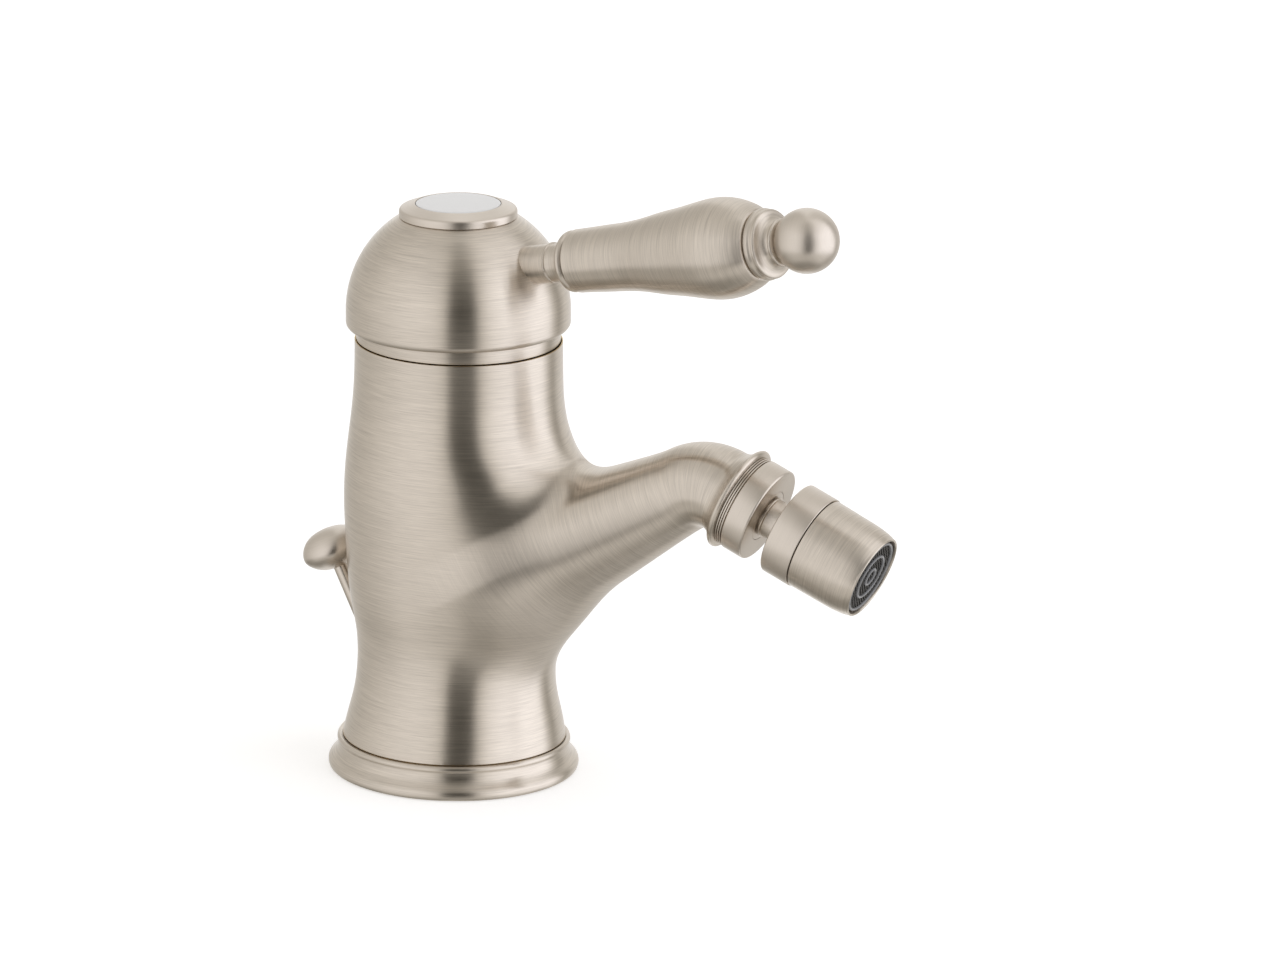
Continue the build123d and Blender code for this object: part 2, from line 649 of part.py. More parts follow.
def rod_reach(height):
    """Distance along the rod's axis from its upper point to a height, negative below it."""
    return (height - ROD_Z) / cos(radians(ROD_LEAN))


def rod_hole(radius):
    """The slanting hole from the foot cavity out through the body's back."""
    return disc(radius, rod_reach(CAVITY_TAPER_Z), rod_reach(ROD_Z))


# Foot
def base_ring():
    """Ring under the body with a rounded lip, a cove and a bead."""
    lip_top = at(BASE_LIP_TOP_R, BASE_LIP_HEIGHT)
    neck = at(BASE_NECK_R, BASE_NECK_Z)
    bead_top = at(BASE_BEAD_TOP_R, BASE_HEIGHT)
    return turned(
        ThreePointArc(at(BASE_SOLE_R, 0), at(BASE_LIP_R, BASE_LIP_HEIGHT / 2), lip_top),
        Spline(lip_top, at(BASE_COVE_R, BASE_COVE_Z), neck),
        ThreePointArc(neck, at(BASE_BEAD_R, (BASE_NECK_Z + BASE_HEIGHT) / 2), bead_top),
        Line(bead_top, at(BASE_BORE_R, BASE_HEIGHT)),
        Line(at(BASE_BORE_R, BASE_HEIGHT), at(BASE_BORE_R, 0)),
        Line(at(BASE_BORE_R, 0), at(BASE_SOLE_R, 0)),
    )


def base_gasket():
    """Flat seal in the groove under the body."""
    return tube(GASKET_OUTER_R, GASKET_INNER_R, 0, GASKET_HEIGHT)


# Rod
def rod_bush():
    """Guide of the rod, trimmed to the wall that it sits in."""
    sleeve = tube(
        ROD_R + BUSH_WALL,
        ROD_R + RUNNING_GAP,
        rod_reach(CAVITY_TAPER_Z),
        rod_reach(ROD_Z),
    )
    wall = body_outline().cut(disc(CAVITY_R, 0, BODY_TOP_Z))
    return single(on_rod(sleeve).intersect(wall))


def lift_rod():
    """Rod from its thinner tail in the foot cavity up into the knob."""
    foot = rod_reach(ROD_FOOT_Z)
    tail_end = foot + SOFT_EDGE + ROD_TAIL_LENGTH
    tail = disc(ROD_TAIL_R, foot, tail_end)
    tail = tail.chamfer(SOFT_EDGE, None, rims(tail, ROD_TAIL_R, foot))
    return on_rod(tail.fuse(disc(ROD_R, tail_end, KNOB_SOCKET_DEPTH - SOFT_EDGE)))


def lift_knob():
    """Rounded pull knob with a small collar underneath."""
    belt = at(KNOB_R, KNOB_BELT)
    flare = at(KNOB_FLARE_R, KNOB_FLARE_HEIGHT)
    knob = turned(
        Line(at(0, 0), at(KNOB_COLLAR_R, 0)),
        Line(at(KNOB_COLLAR_R, 0), at(KNOB_COLLAR_R, KNOB_COLLAR_HEIGHT)),
        Line(at(KNOB_COLLAR_R, KNOB_COLLAR_HEIGHT), flare),
        Spline(flare, belt, tangents=[(-1, 0, tan(radians(ROD_LEAN))), (0, 0, 1)]),
        Spline(belt, at(0, KNOB_HEIGHT), tangents=[(0, 0, 1), (1, 0, 0)]),
        Line(at(0, KNOB_HEIGHT), at(0, 0)),
    )
    return on_rod(knob.cut(disc(ROD_R + SEAT_GAP, -OVERRUN, KNOB_SOCKET_DEPTH)))


# Cartridge
def port_places():
    """The two inlets and the outlet, as places on the chamber's floor."""
    return [(INLET_X, INLET_Y), (INLET_X, -INLET_Y), (OUTLET_X, 0)]


def disc_places():
    """The same three ports, closer together, as places on the fixed disc."""
    inlet_x = DISC_R * DISC_INLET_X_SHARE
    inlet_y = DISC_R * DISC_INLET_Y_SHARE
    return [(inlet_x, inlet_y), (inlet_x, -inlet_y), (-DISC_R * DISC_OUTLET_SHARE, 0)]


def port_seals():
    """One ring seal round each port, between the cartridge and the body."""
    ring = tube(
        SEAL_PORT_R + SEAL_WIDTH,
        SEAL_PORT_R + SEAT_GAP,
        CHAMBER_Z,
        PLATE_Z + SEAL_DEPTH,
    )
    return Compound([single(Pos(x, y, 0) * ring) for x, y in port_places()])


def cartridge_base():
    """Plate with three ports that closes the case from below."""
    plate = disc(CASE_R, PLATE_Z, PLUG_Z).fuse(disc(CASE_INNER_R - SEAT_GAP, PLUG_Z, DISC_Z)).solid()
    seal_groove = disc(SEAL_PORT_R + SEAL_WIDTH + SEAT_GAP, PLATE_Z - OVERRUN, PLATE_Z + SEAL_DEPTH)
    for place, target in zip(port_places(), disc_places()):
        low = Vector(*place, PLATE_Z + SEAL_DEPTH)
        high = Vector(*target, DISC_Z)
        plate = plate.cut(duct(low, high, DISC_PORT_R, OVERRUN))
        plate = plate.cut(single(Pos(*place, 0) * seal_groove))
    return plate.solid()


def cartridge_case():
    """Housing of the discs, with a neck that guides the handle's turn."""
    case = turned_lines(
        (CASE_INNER_R, PLUG_Z),
        (CASE_R, PLUG_Z),
        (CASE_R, CASE_TOP_Z),
        (CASE_NECK_R, CASE_TOP_Z),
        (CASE_NECK_R, CASE_NECK_Z),
        (GUIDE_R + RUNNING_GAP, CASE_NECK_Z),
        (GUIDE_R + RUNNING_GAP, CASE_TOP_Z - CASE_ROOF),
        (CASE_INNER_R, CASE_TOP_Z - CASE_ROOF),
    )
    return case


def fixed_disc():
    """Ceramic disc with the three ports, which stays still."""
    plate = disc(DISC_R, DISC_Z, SLIDER_Z)
    port = disc(DISC_PORT_R, DISC_Z - OVERRUN, SLIDER_Z + OVERRUN)
    for place in disc_places():
        plate = plate.cut(single(Pos(*place, 0) * port))
    return plate.solid()


def tip_shift():
    """How far the stem's tip stands from the axis as the lever is shown."""
    return STEM_REACH * sin(radians(LIFT_SHOWN))


def moving_disc():
    """Ceramic disc that slides and turns on the fixed one, hollowed underneath to mix."""
    plate = disc(SLIDER_R, SLIDER_Z, CARRIER_Z)
    hollow = disc(SLIDER_R * MIXING_SHARE, SLIDER_Z - OVERRUN, SLIDER_Z + SLIDER_HEIGHT / 2)
    plate = plate.cut(single(Pos(-SLIDER_R * MIXING_OFFSET_SHARE, 0, 0) * hollow))
    return as_turned(Pos(tip_shift() - CARRIER_OFFSET, 0, 0) * plate.solid())


def disc_carrier():
    """Slider that the stem's tip pushes, with the moving disc under it."""
    top = CARRIER_Z + CARRIER_HEIGHT
    block = disc(CARRIER_R, CARRIER_Z, top)
    block = block.chamfer(SOFT_EDGE, None, rims(block, CARRIER_R, top))
    block = single(Pos(-CARRIER_OFFSET, 0, 0) * block)
    socket = disc(TIP_SOCKET_R, TIP_Z - TIP_R - FREE_GAP, top + OVERRUN)
    return as_turned(Pos(tip_shift(), 0, 0) * block.cut(socket))


def stem_sweep(height):
    """How far the stem's middle has moved along the slot at a height when fully open."""
    return (PIVOT_Z - height) * tan(radians(LIFT_TRAVEL))


def stem_guide():
    """Turning guide that carries the pin, slotted for the stem."""
    flange_top = GUIDE_Z + GUIDE_FLANGE_HEIGHT
    guide = disc(GUIDE_FLANGE_R, GUIDE_Z, flange_top).fuse(disc(GUIDE_R, GUIDE_Z, GUIDE_TOP_Z)).solid()
    guide = guide.chamfer(SOFT_EDGE, None, rims(guide, GUIDE_R, GUIDE_TOP_Z))
    half = STEM_WIDTH / 2 / cos(radians(LIFT_TRAVEL)) + STEM_SLOT_GAP
    low_end = stem_sweep(GUIDE_Z) + half
    high_end = -stem_sweep(GUIDE_TOP_Z) + half
    width = STEM_THICKNESS + 2 * STEM_SLOT_GAP
    low_slot = Pos((low_end - half) / 2, 0, 0) * prism(low_end + half, width, SLOT_LOW, PIVOT_Z)
    high_slot = prism(high_end + half, width, CASE_TOP_Z, GUIDE_TOP_Z + OVERRUN)
    high_slot = Pos((half - high_end) / 2, 0, 0) * high_slot
    pin_hole = Pos(0, 0, PIVOT_Z) * Rot(90, 0, 0) * Cylinder(PIN_R, 2 * GUIDE_R)
    guide = guide.cut(single(low_slot), single(high_slot)).solid()
    return as_turned(guide.cut(single(pin_hole)))


def stem_pin():
    """Pin that the stem tips on."""
    return as_turned(Pos(0, 0, PIVOT_Z) * Rot(90, 0, 0) * Cylinder(PIN_R, 2 * (GUIDE_R - PIN_INSET)))


def lever_stem():
    """Stem from the disc carrier up into the dome's hub."""
    neck_top = TIP_Z + TIP_R + STEM_WIDTH / 2
    ball = Pos(0, 0, TIP_Z) * Sphere(TIP_R)
    neck = disc(STEM_NECK_R, TIP_Z, neck_top + OVERRUN)
    bar = prism(STEM_WIDTH, STEM_THICKNESS, neck_top, STEM_TOP_Z)
    stem = bar.fuse(neck).fuse(ball).solid()
    hole = Pos(0, 0, PIVOT_Z) * Rot(90, 0, 0) * Cylinder(PIN_R + RUNNING_GAP, 2 * STEM_THICKNESS)
    thread = disc(SCREW_R + SEAT_GAP, screw_tip_z() - OVERRUN, STEM_TOP_Z + OVERRUN)
    return as_lifted(stem.cut(single(hole), thread))


def screw_tip_z():
    """Lower end of the handle's screw."""
    return DOME_FLOOR_Z + DOME_FLOOR_THICKNESS - SCREW_LENGTH


def handle_screw():
    """Socket screw from the dome's recess into the stem."""
    seat = DOME_FLOOR_Z + DOME_FLOOR_THICKNESS
    head = disc(SCREW_HEAD_R, seat, seat + SCREW_HEAD_HEIGHT)
    screw = disc(SCREW_R, screw_tip_z(), seat).fuse(head).solid()
    key_low = seat + SCREW_HEAD_HEIGHT - SCREW_KEY_DEPTH
    return as_lifted(screw.cut(hexagon(SCREW_KEY_ACROSS, key_low, SCREW_KEY_DEPTH + OVERRUN)))


def cartridge_nut():
    """Ring nut with a hexagon that clamps the cartridge."""
    seat_low = CASE_TOP_Z - NUT_SEAT_HEIGHT
    ring = tube(NUT_R, CASE_R + RUNNING_GAP, seat_low, CASE_TOP_Z)
    top = RING_BORE_Z + NUT_HEX_HEIGHT
    web = tube(NUT_R, CASE_NECK_R + RUNNING_GAP, CASE_TOP_Z, RING_BORE_Z)
    head = hexagon(TRIM_BORE_R * NUT_HEX_SHARE, RING_BORE_Z, NUT_HEX_HEIGHT)
    head = head.cut(disc(CASE_NECK_R + RUNNING_GAP, RING_BORE_Z - OVERRUN, top + OVERRUN))
    return ring.fuse(web).fuse(head).solid()


# Trim ring
def trim_ring():
    """Ring on the body's top edge, just under the dome."""
    low = BODY_TOP_Z + SEAM_GAP
    ring = turned_lines(
        (TRIM_BORE_R, RING_BORE_Z),
        (RING_BORE_R - SEAT_GAP, RING_BORE_Z),
        (RING_BORE_R - SEAT_GAP, low),
        (TRIM_R, low),
        (TRIM_R, TRIM_TOP_Z),
        (TRIM_BORE_R, TRIM_TOP_Z),
    )
    return ring.chamfer(SOFT_EDGE, None, rims(ring, TRIM_R, TRIM_TOP_Z))


# Handle
def dome():
    """Handle cap: a thin dome with a hub for the stem and an arm for the lever."""
    inner_r = DOME_R - DOME_WALL
    crown = Pos(0, 0, DOME_CENTRE_Z) * Sphere(DOME_R)
    skirt = disc(DOME_R, DOME_RIM_Z, DOME_CENTRE_Z)
    outside = single(crown).cut(disc(2 * DOME_R, DOME_CENTRE_Z - 2 * DOME_R, DOME_CENTRE_Z)).solid()
    outside = outside.fuse(skirt).solid()
    outside = outside.fillet(DOME_RIM_ROUND, rims(outside, DOME_R, DOME_RIM_Z))
    hollow = single(Pos(0, 0, DOME_CENTRE_Z) * Sphere(inner_r))
    hollow = hollow.cut(disc(2 * DOME_R, DOME_CENTRE_Z - 2 * DOME_R, DOME_CENTRE_Z)).solid()
    hollow = hollow.fuse(disc(inner_r, DOME_RIM_Z - OVERRUN, DOME_CENTRE_Z)).solid()
    shell = outside.cut(hollow).solid()
    floor_top = DOME_FLOOR_Z + DOME_FLOOR_THICKNESS
    hub = disc(DOME_HUB_R, DOME_HUB_Z, floor_top)
    floor = disc(DOME_FLOOR_R, DOME_FLOOR_Z, floor_top)
    arm = single(LEVER_PLANE.location * disc(DOME_ARM_R, 0, DOME_R))
    inside = hub.fuse(floor).fuse(arm).solid().intersect(outside)
    shell = shell.fuse(single(inside)).solid()
    shell = shell.cut(disc(DOME_RECESS_R, floor_top, DOME_CENTRE_Z + DOME_R))
    shell = shell.cut(disc(CAP_R, CAP_SEAT_Z, DOME_CENTRE_Z + DOME_R))
    shell = shell.cut(disc(SCREW_R + SEAT_GAP, DOME_HUB_Z, floor_top + OVERRUN))
    socket = prism(
        STEM_WIDTH + 2 * SEAT_GAP,
        STEM_THICKNESS + 2 * SEAT_GAP,
        SOCKET_LOW_Z,
        STEM_TOP_Z + SEAT_GAP,
    )
    shell = shell.cut(single(socket))
    stud_hole = disc(NECK_STUD_R + SEAT_GAP, NECK_STUD_S - SOFT_EDGE, 2 * DOME_R)
    neck_hole = disc(NECK_R + SEAT_GAP, NECK_SEAT_S, 2 * DOME_R)
    shell = shell.cut(single(LEVER_PLANE.location * stud_hole), single(LEVER_PLANE.location * neck_hole))
    return as_lifted(shell.solid())


def cap_ring():
    """Ring on the dome's top that frames the index disc."""
    floor_top = DOME_FLOOR_Z + DOME_FLOOR_THICKNESS
    side_top = CAP_SEAT_Z + CAP_SIDE_HEIGHT
    slope_low = CAP_TOP_Z - CAP_SLOPE_DROP
    disc_seat = CAP_TOP_Z - INDEX_THICKNESS
    spigot_r = DOME_RECESS_R - SEAT_GAP
    side_end = at(CAP_R, side_top)
    slope_start = at(CAP_SLOPE_R, slope_low)
    slope_heading = (CAP_SLOPE_R - DISC_SEAT_R, 0, CAP_SLOPE_DROP)
    return as_lifted(
        turned(
            Line(at(CAP_BORE_R, floor_top), at(spigot_r, floor_top)),
            Line(at(spigot_r, floor_top), at(spigot_r, CAP_SEAT_Z)),
            Line(at(spigot_r, CAP_SEAT_Z), at(CAP_R, CAP_SEAT_Z)),
            Line(at(CAP_R, CAP_SEAT_Z), side_end),
            Spline(side_end, slope_start, tangents=[(0, 0, 1), slope_heading]),
            Line(slope_start, at(DISC_SEAT_R, CAP_TOP_Z)),
            Line(at(DISC_SEAT_R, CAP_TOP_Z), at(DISC_SEAT_R, disc_seat)),
            Line(at(DISC_SEAT_R, disc_seat), at(CAP_BORE_R, disc_seat)),
            Line(at(CAP_BORE_R, disc_seat), at(CAP_BORE_R, floor_top)),
        )
    )


def index_disc():
    """Plain white disc, slightly crowned."""
    low = CAP_TOP_Z - INDEX_THICKNESS
    edge = at(INDEX_R, CAP_TOP_Z - SEAT_GAP)
    top = at(0, CAP_TOP_Z + INDEX_CROWN)
    return as_lifted(
        turned(
            Spline(edge, top, tangents=[(INDEX_R, 0, 2 * INDEX_CROWN), (1, 0, 0)]),
            Line(top, at(0, low)),
            Line(at(0, low), at(INDEX_R, low)),
            Line(at(INDEX_R, low), edge),
        )
    )


# Lever
GRIP_S = SEAM_S + 2 * SEAM_GAP
GRIP_END_S = GRIP_S + GRIP_LENGTH
COLLAR_S = GRIP_END_S + SEAM_GAP / 2
COLLAR_LENGTH = COLLAR_BEAD_WIDTH + COLLAR_COVE_LENGTH + COLLAR_RING_WIDTH
COLLAR_END_S = COLLAR_S + COLLAR_LENGTH
BALL_S = COLLAR_END_S + BALL_SETBACK


def lever_neck():
    """Turned neck: stud, plain shank with a bead, waist and ring."""
    ring_high = SEAM_S + SEAM_GAP
    ring_low = ring_high - NECK_RING_WIDTH
    bead_low = NECK_BEAD_S - NECK_BEAD_WIDTH / 2
    bead_high = NECK_BEAD_S + NECK_BEAD_WIDTH / 2
    ring_edge = NECK_RING_R - SOFT_EDGE
    spigot_end = ring_high + NECK_SPIGOT_LENGTH
    neck = turned(
        Line(at(0, NECK_STUD_S), at(NECK_STUD_R, NECK_STUD_S)),
        Line(at(NECK_STUD_R, NECK_STUD_S), at(NECK_STUD_R, NECK_SEAT_S)),
        Line(at(NECK_STUD_R, NECK_SEAT_S), at(NECK_R, NECK_SEAT_S)),
        Line(at(NECK_R, NECK_SEAT_S), at(NECK_R, bead_low)),
        ThreePointArc(at(NECK_R, bead_low), at(NECK_BEAD_R, NECK_BEAD_S), at(NECK_R, bead_high)),
        Spline(
            at(NECK_R, bead_high),
            at(NECK_WAIST_R, NECK_WAIST_S),
            at(ring_edge, ring_low),
            tangents=[(1, 0, 1), (-1, 0, 0)],
        ),
        ThreePointArc(
            at(ring_edge, ring_low),
            at(NECK_RING_R, (ring_low + ring_high) / 2),
            at(ring_edge, ring_high),
        ),
        Line(at(ring_edge, ring_high), at(NECK_SPIGOT_R, ring_high)),
        Line(at(NECK_SPIGOT_R, ring_high), at(NECK_SPIGOT_R, spigot_end)),
        Line(at(NECK_SPIGOT_R, spigot_end), at(0, spigot_end)),
        Line(at(0, spigot_end), at(0, NECK_STUD_S)),
    )
    return on_lever(neck.cut(disc(TIE_R + SEAT_GAP, TIE_START_S - SEAM_GAP, spigot_end + OVERRUN)))


def lever_grip():
    """Grip that swells towards its outer end, bored for the tie rod."""
    points = [at(GRIP_START_R, GRIP_S + SOFT_EDGE)]
    for station, swell in zip(GRIP_STATION_SHARES, GRIP_SWELL_SHARES):
        radius = GRIP_WAIST_R + (GRIP_SWELL_R - GRIP_WAIST_R) * swell
        points.append(at(radius, GRIP_S + GRIP_LENGTH * station))
    points.append(at(GRIP_END_R, GRIP_END_S))
    start = at(GRIP_START_R - SOFT_EDGE, GRIP_S)
    grip = turned(
        Spline(*points),
        Line(at(GRIP_END_R, GRIP_END_S), at(0, GRIP_END_S)),
        Line(at(0, GRIP_END_S), at(0, GRIP_S)),
        Line(at(0, GRIP_S), start),
        Line(start, points[0]),
    )
    hole_end = SEAM_S + NECK_SPIGOT_LENGTH + 2 * SEAM_GAP
    spigot_hole = disc(NECK_SPIGOT_R + SEAT_GAP, GRIP_S - OVERRUN, hole_end)
    bore = disc(TIE_R + SEAT_GAP, GRIP_S - OVERRUN, GRIP_END_S + OVERRUN)
    return on_lever(grip.cut(spigot_hole, bore))


def lever_collar():
    """Collar at the grip's end: a bead, a cove and a small ring."""
    bead_low = at(COLLAR_BEAD_R - SOFT_EDGE, COLLAR_S)
    bead_high = at(COLLAR_BEAD_R - SOFT_EDGE, COLLAR_S + COLLAR_BEAD_WIDTH)
    bead_middle = at(COLLAR_BEAD_R, COLLAR_S + COLLAR_BEAD_WIDTH / 2)
    cove_end_s = COLLAR_S + COLLAR_BEAD_WIDTH + COLLAR_COVE_LENGTH
    ring_r = COLLAR_RING_R - SOFT_EDGE
    collar = turned(
        ThreePointArc(bead_low, bead_middle, bead_high),
        Spline(bead_high, at(COLLAR_COVE_R, cove_end_s), tangents=[(1, 0, SOFT_EDGE), (0, 0, 1)]),
        Line(at(COLLAR_COVE_R, cove_end_s), at(ring_r, cove_end_s)),
        ThreePointArc(
            at(ring_r, cove_end_s),
            at(COLLAR_RING_R, cove_end_s + COLLAR_RING_WIDTH / 2),
            at(ring_r, COLLAR_END_S),
        ),
        Line(at(ring_r, COLLAR_END_S), at(0, COLLAR_END_S)),
        Line(at(0, COLLAR_END_S), at(0, COLLAR_S)),
        Line(at(0, COLLAR_S), bead_low),
    )
    return on_lever(collar.cut(disc(TIE_R + SEAT_GAP, COLLAR_S - OVERRUN, COLLAR_END_S + OVERRUN)))


def lever_ball():
    """Ball at the lever's end, on a short neck."""
    neck_end = BALL_S - sqrt(BALL_R ** 2 - BALL_NECK_R ** 2)
    bore_r = TIE_R + SEAT_GAP
    return on_lever(
        turned(
            Line(at(bore_r, COLLAR_END_S), at(BALL_NECK_R, COLLAR_END_S)),
            Line(at(BALL_NECK_R, COLLAR_END_S), at(BALL_NECK_R, neck_end)),
            ThreePointArc(at(BALL_NECK_R, neck_end), at(BALL_R, BALL_S), at(0, BALL_S + BALL_R)),
            Line(at(0, BALL_S + BALL_R), at(0, BALL_S)),
            Line(at(0, BALL_S), at(bore_r, BALL_S)),
            Line(at(bore_r, BALL_S), at(bore_r, COLLAR_END_S)),
        )
    )


def tie_rod():
    """Rod through neck, grip and collar into the ball."""
    return on_lever(disc(TIE_R, TIE_START_S, BALL_S - SOFT_EDGE))


# Ball joint
def swivel_collar():
    """Collar screwed into the spout's end, with the socket of the ball joint."""
    lip_r = sqrt((JOINT_BALL_R + SEAM_GAP) ** 2 - JOINT_LIP ** 2)
    lip = JOINT_CENTRE + JOINT_LIP
    thread_low = FLANGE_THICKNESS - SPOUT_THREAD_DEPTH + SEAM_GAP
    thread_r = SPOUT_THREAD_R - THREAD_GAP
    seat_r = SEAT_R + RUNNING_GAP
    groove_width = SWIVEL_GROOVE_LENGTH / SWIVEL_GROOVE_COUNT
    outline = [(seat_r, thread_low), (thread_r, thread_low), (thread_r, FLANGE_THICKNESS)]
    for index in range(SWIVEL_GROOVE_COUNT):
        low = FLANGE_THICKNESS + groove_width * index
        outline.append((SWIVEL_GROOVE_R, low))
        outline.append((SWIVEL_GROOVE_R - SEAM_GAP, low + groove_width / 2))
    outline.extend(
        [
            (SWIVEL_GROOVE_R, SWIVEL_START),
            (SWIVEL_R, SWIVEL_START),
            (SWIVEL_R, SWIVEL_FACE - SWIVEL_CHAMFER),
            (SWIVEL_R - SWIVEL_CHAMFER, SWIVEL_FACE),
            (FACE_RECESS_R, SWIVEL_FACE),
            (FACE_RECESS_R, SWIVEL_FACE - FACE_RECESS_DEPTH),
            (lip_r + SEAM_GAP, SWIVEL_FACE - FACE_RECESS_DEPTH),
            (lip_r, lip),
        ]
    )
    blank = turned_lines(*outline, (lip_r, JOINT_CENTRE + SEAT_FRONT), (seat_r, JOINT_CENTRE + SEAT_FRONT))
    socket = single(Pos(0, 0, JOINT_CENTRE) * Sphere(JOINT_BALL_R + SEAM_GAP))
    return on_spout_end(blank.cut(socket))


def ball_seat():
    """Low-friction ring behind the ball, which turns in the collar."""
    low = JOINT_CENTRE - SEAT_BACK
    high = JOINT_CENTRE + SEAT_FRONT - RUNNING_GAP
    ring = tube(SEAT_R, JOINT_BALL_R * SEAT_MOUTH_SHARE, low, high)
    hollow = single(Pos(0, 0, JOINT_CENTRE) * Sphere(JOINT_BALL_R + RUNNING_GAP))
    return on_spout_end(ring.cut(hollow))


def socket_seal():
    """Seal ring behind the ball seat."""
    low = FLANGE_THICKNESS - SPOUT_THREAD_DEPTH + SEAM_GAP
    high = JOINT_CENTRE - SEAT_BACK - RUNNING_GAP
    return on_spout_end(tube(SEAT_R, JOINT_BALL_R * SEAL_MOUTH_SHARE, low, high))


def ball_stem():
    """Bored ball and stem, with a head that holds the aerator's collar."""
    ball = single(Pos(0, 0, JOINT_CENTRE) * Sphere(JOINT_BALL_R))
    back = JOINT_CENTRE - JOINT_BALL_R * JOINT_BACK_SHARE
    ball = ball.cut(disc(2 * JOINT_BALL_R, -2 * JOINT_BALL_R, back)).solid()
    head_low = AERATOR_BACK + AERATOR_WALL
    stem = disc(STEM_PIPE_R, JOINT_CENTRE, head_low + STEM_HEAD_HEIGHT)
    head = disc(STEM_HEAD_R, head_low, head_low + STEM_HEAD_HEIGHT)
    groove = tube(
        STEM_PIPE_R + OVERRUN,
        STEM_PIPE_R - STEM_GROOVE_DEPTH,
        STEM_GROOVE_AT,
        STEM_GROOVE_AT + STEM_GROOVE_WIDTH,
    )
    piece = ball.fuse(stem).fuse(head).solid().cut(groove)
    bore = disc(STEM_BORE_R, -2 * JOINT_BALL_R, head_low + STEM_HEAD_HEIGHT + OVERRUN)
    return on_spout_end(piece.cut(bore))


# Aerator
COLLAR_FRONT = AERATOR_BACK + AERATOR_COLLAR_LENGTH
CAP_BACK = COLLAR_FRONT + CAP_LIP_GAP
WASHER_LOW = AERATOR_BACK + AERATOR_WALL + STEM_HEAD_HEIGHT


def aerator_collar():
    """Bare ring behind the aerator, threaded inside."""
    outline = [
        (STEM_PIPE_R + SEAT_GAP, AERATOR_BACK),
        (AERATOR_COLLAR_R - AERATOR_EDGE, AERATOR_BACK),
        (AERATOR_COLLAR_R, AERATOR_BACK + AERATOR_EDGE),
        (AERATOR_COLLAR_R, COLLAR_FRONT),
        (AERATOR_THREAD_R, COLLAR_FRONT),
        (AERATOR_THREAD_R, AERATOR_BACK + AERATOR_WALL),
        (STEM_PIPE_R + SEAT_GAP, AERATOR_BACK + AERATOR_WALL),
    ]
    return on_spout_end(turned_lines(*outline))


def aerator_cap():
    """Tapering cap with a threaded neck and a rounded mouth."""
    neck_r = AERATOR_THREAD_R - THREAD_GAP
    neck_back = CAP_BACK - AERATOR_NECK_LENGTH
    neck_bore = neck_r - AERATOR_NECK_WALL
    insert_stop = INSERT_START - SEAM_GAP
    mouth_lip = AERATOR_CAP_END - SOFT_EDGE
    return on_spout_end(
        turned(
            Line(at(neck_bore, neck_back), at(neck_r, neck_back)),
            Line(at(neck_r, neck_back), at(neck_r, CAP_BACK)),
            Line(at(neck_r, CAP_BACK), at(AERATOR_CAP_R, CAP_BACK)),
            Line(at(AERATOR_CAP_R, CAP_BACK), at(AERATOR_CAP_WAIST_R, AERATOR_ROUND_START)),
            Spline(
                at(AERATOR_CAP_WAIST_R, AERATOR_ROUND_START),
                at(AERATOR_MOUTH_R, AERATOR_CAP_END),
                tangents=[
                    (AERATOR_CAP_R - AERATOR_CAP_WAIST_R, 0, AERATOR_ROUND_START - CAP_BACK),
                    (AERATOR_MOUTH_R - AERATOR_CAP_BORE_R, 0, AERATOR_CAP_WAIST_R - AERATOR_MOUTH_R),
                ],
            ),
            Line(at(AERATOR_MOUTH_R, AERATOR_CAP_END), at(AERATOR_CAP_BORE_R, mouth_lip)),
            Line(at(AERATOR_CAP_BORE_R, mouth_lip), at(AERATOR_CAP_BORE_R, insert_stop)),
            Line(at(AERATOR_CAP_BORE_R, insert_stop), at(neck_bore, insert_stop)),
            Line(at(neck_bore, insert_stop), at(neck_bore, neck_back)),
        )
    )


def aerator_insert():
    """Cup with concentric rings on spokes at its outlet."""
    ring_low = INSERT_END - RING_DEPTH
    insert = tube(INSERT_R, INSERT_R - INSERT_WALL, INSERT_START, INSERT_END)
    for share in RING_SHARES:
        outer = INSERT_R * share
        insert = insert.fuse(tube(outer, outer - RING_WIDTH, ring_low, INSERT_END - SEAM_GAP)).solids()
        insert = Compound(list(insert))
    hub = disc(INSERT_HUB_R, ring_low, INSERT_END - SEAM_GAP)
    parts = hub
    spoke = prism(INSERT_R - INSERT_WALL / 2, SPOKE_WIDTH, ring_low, INSERT_END - 2 * SEAM_GAP)
    spoke = Pos(INSERT_R / 2, 0, 0) * spoke
    for index in range(SPOKE_COUNT):
        parts = parts.fuse(single(Rot(0, 0, 360 / SPOKE_COUNT * index) * spoke)).solid()
    return on_spout_end(parts.fuse(*insert.solids()).solid())


def aerator_mesh():
    """Fine mesh behind the rings, as a thin disc."""
    high = INSERT_END - RING_DEPTH - SEAM_GAP
    return on_spout_end(disc(INSERT_R - INSERT_WALL - SEAT_GAP, high - MESH_THICKNESS, high))


def aerator_washer():
    """Washer between the stem's head and the cap's neck."""
    outer = AERATOR_THREAD_R - SEAT_GAP
    return on_spout_end(tube(outer, outer - WASHER_WIDTH, WASHER_LOW, WASHER_LOW + WASHER_THICKNESS))


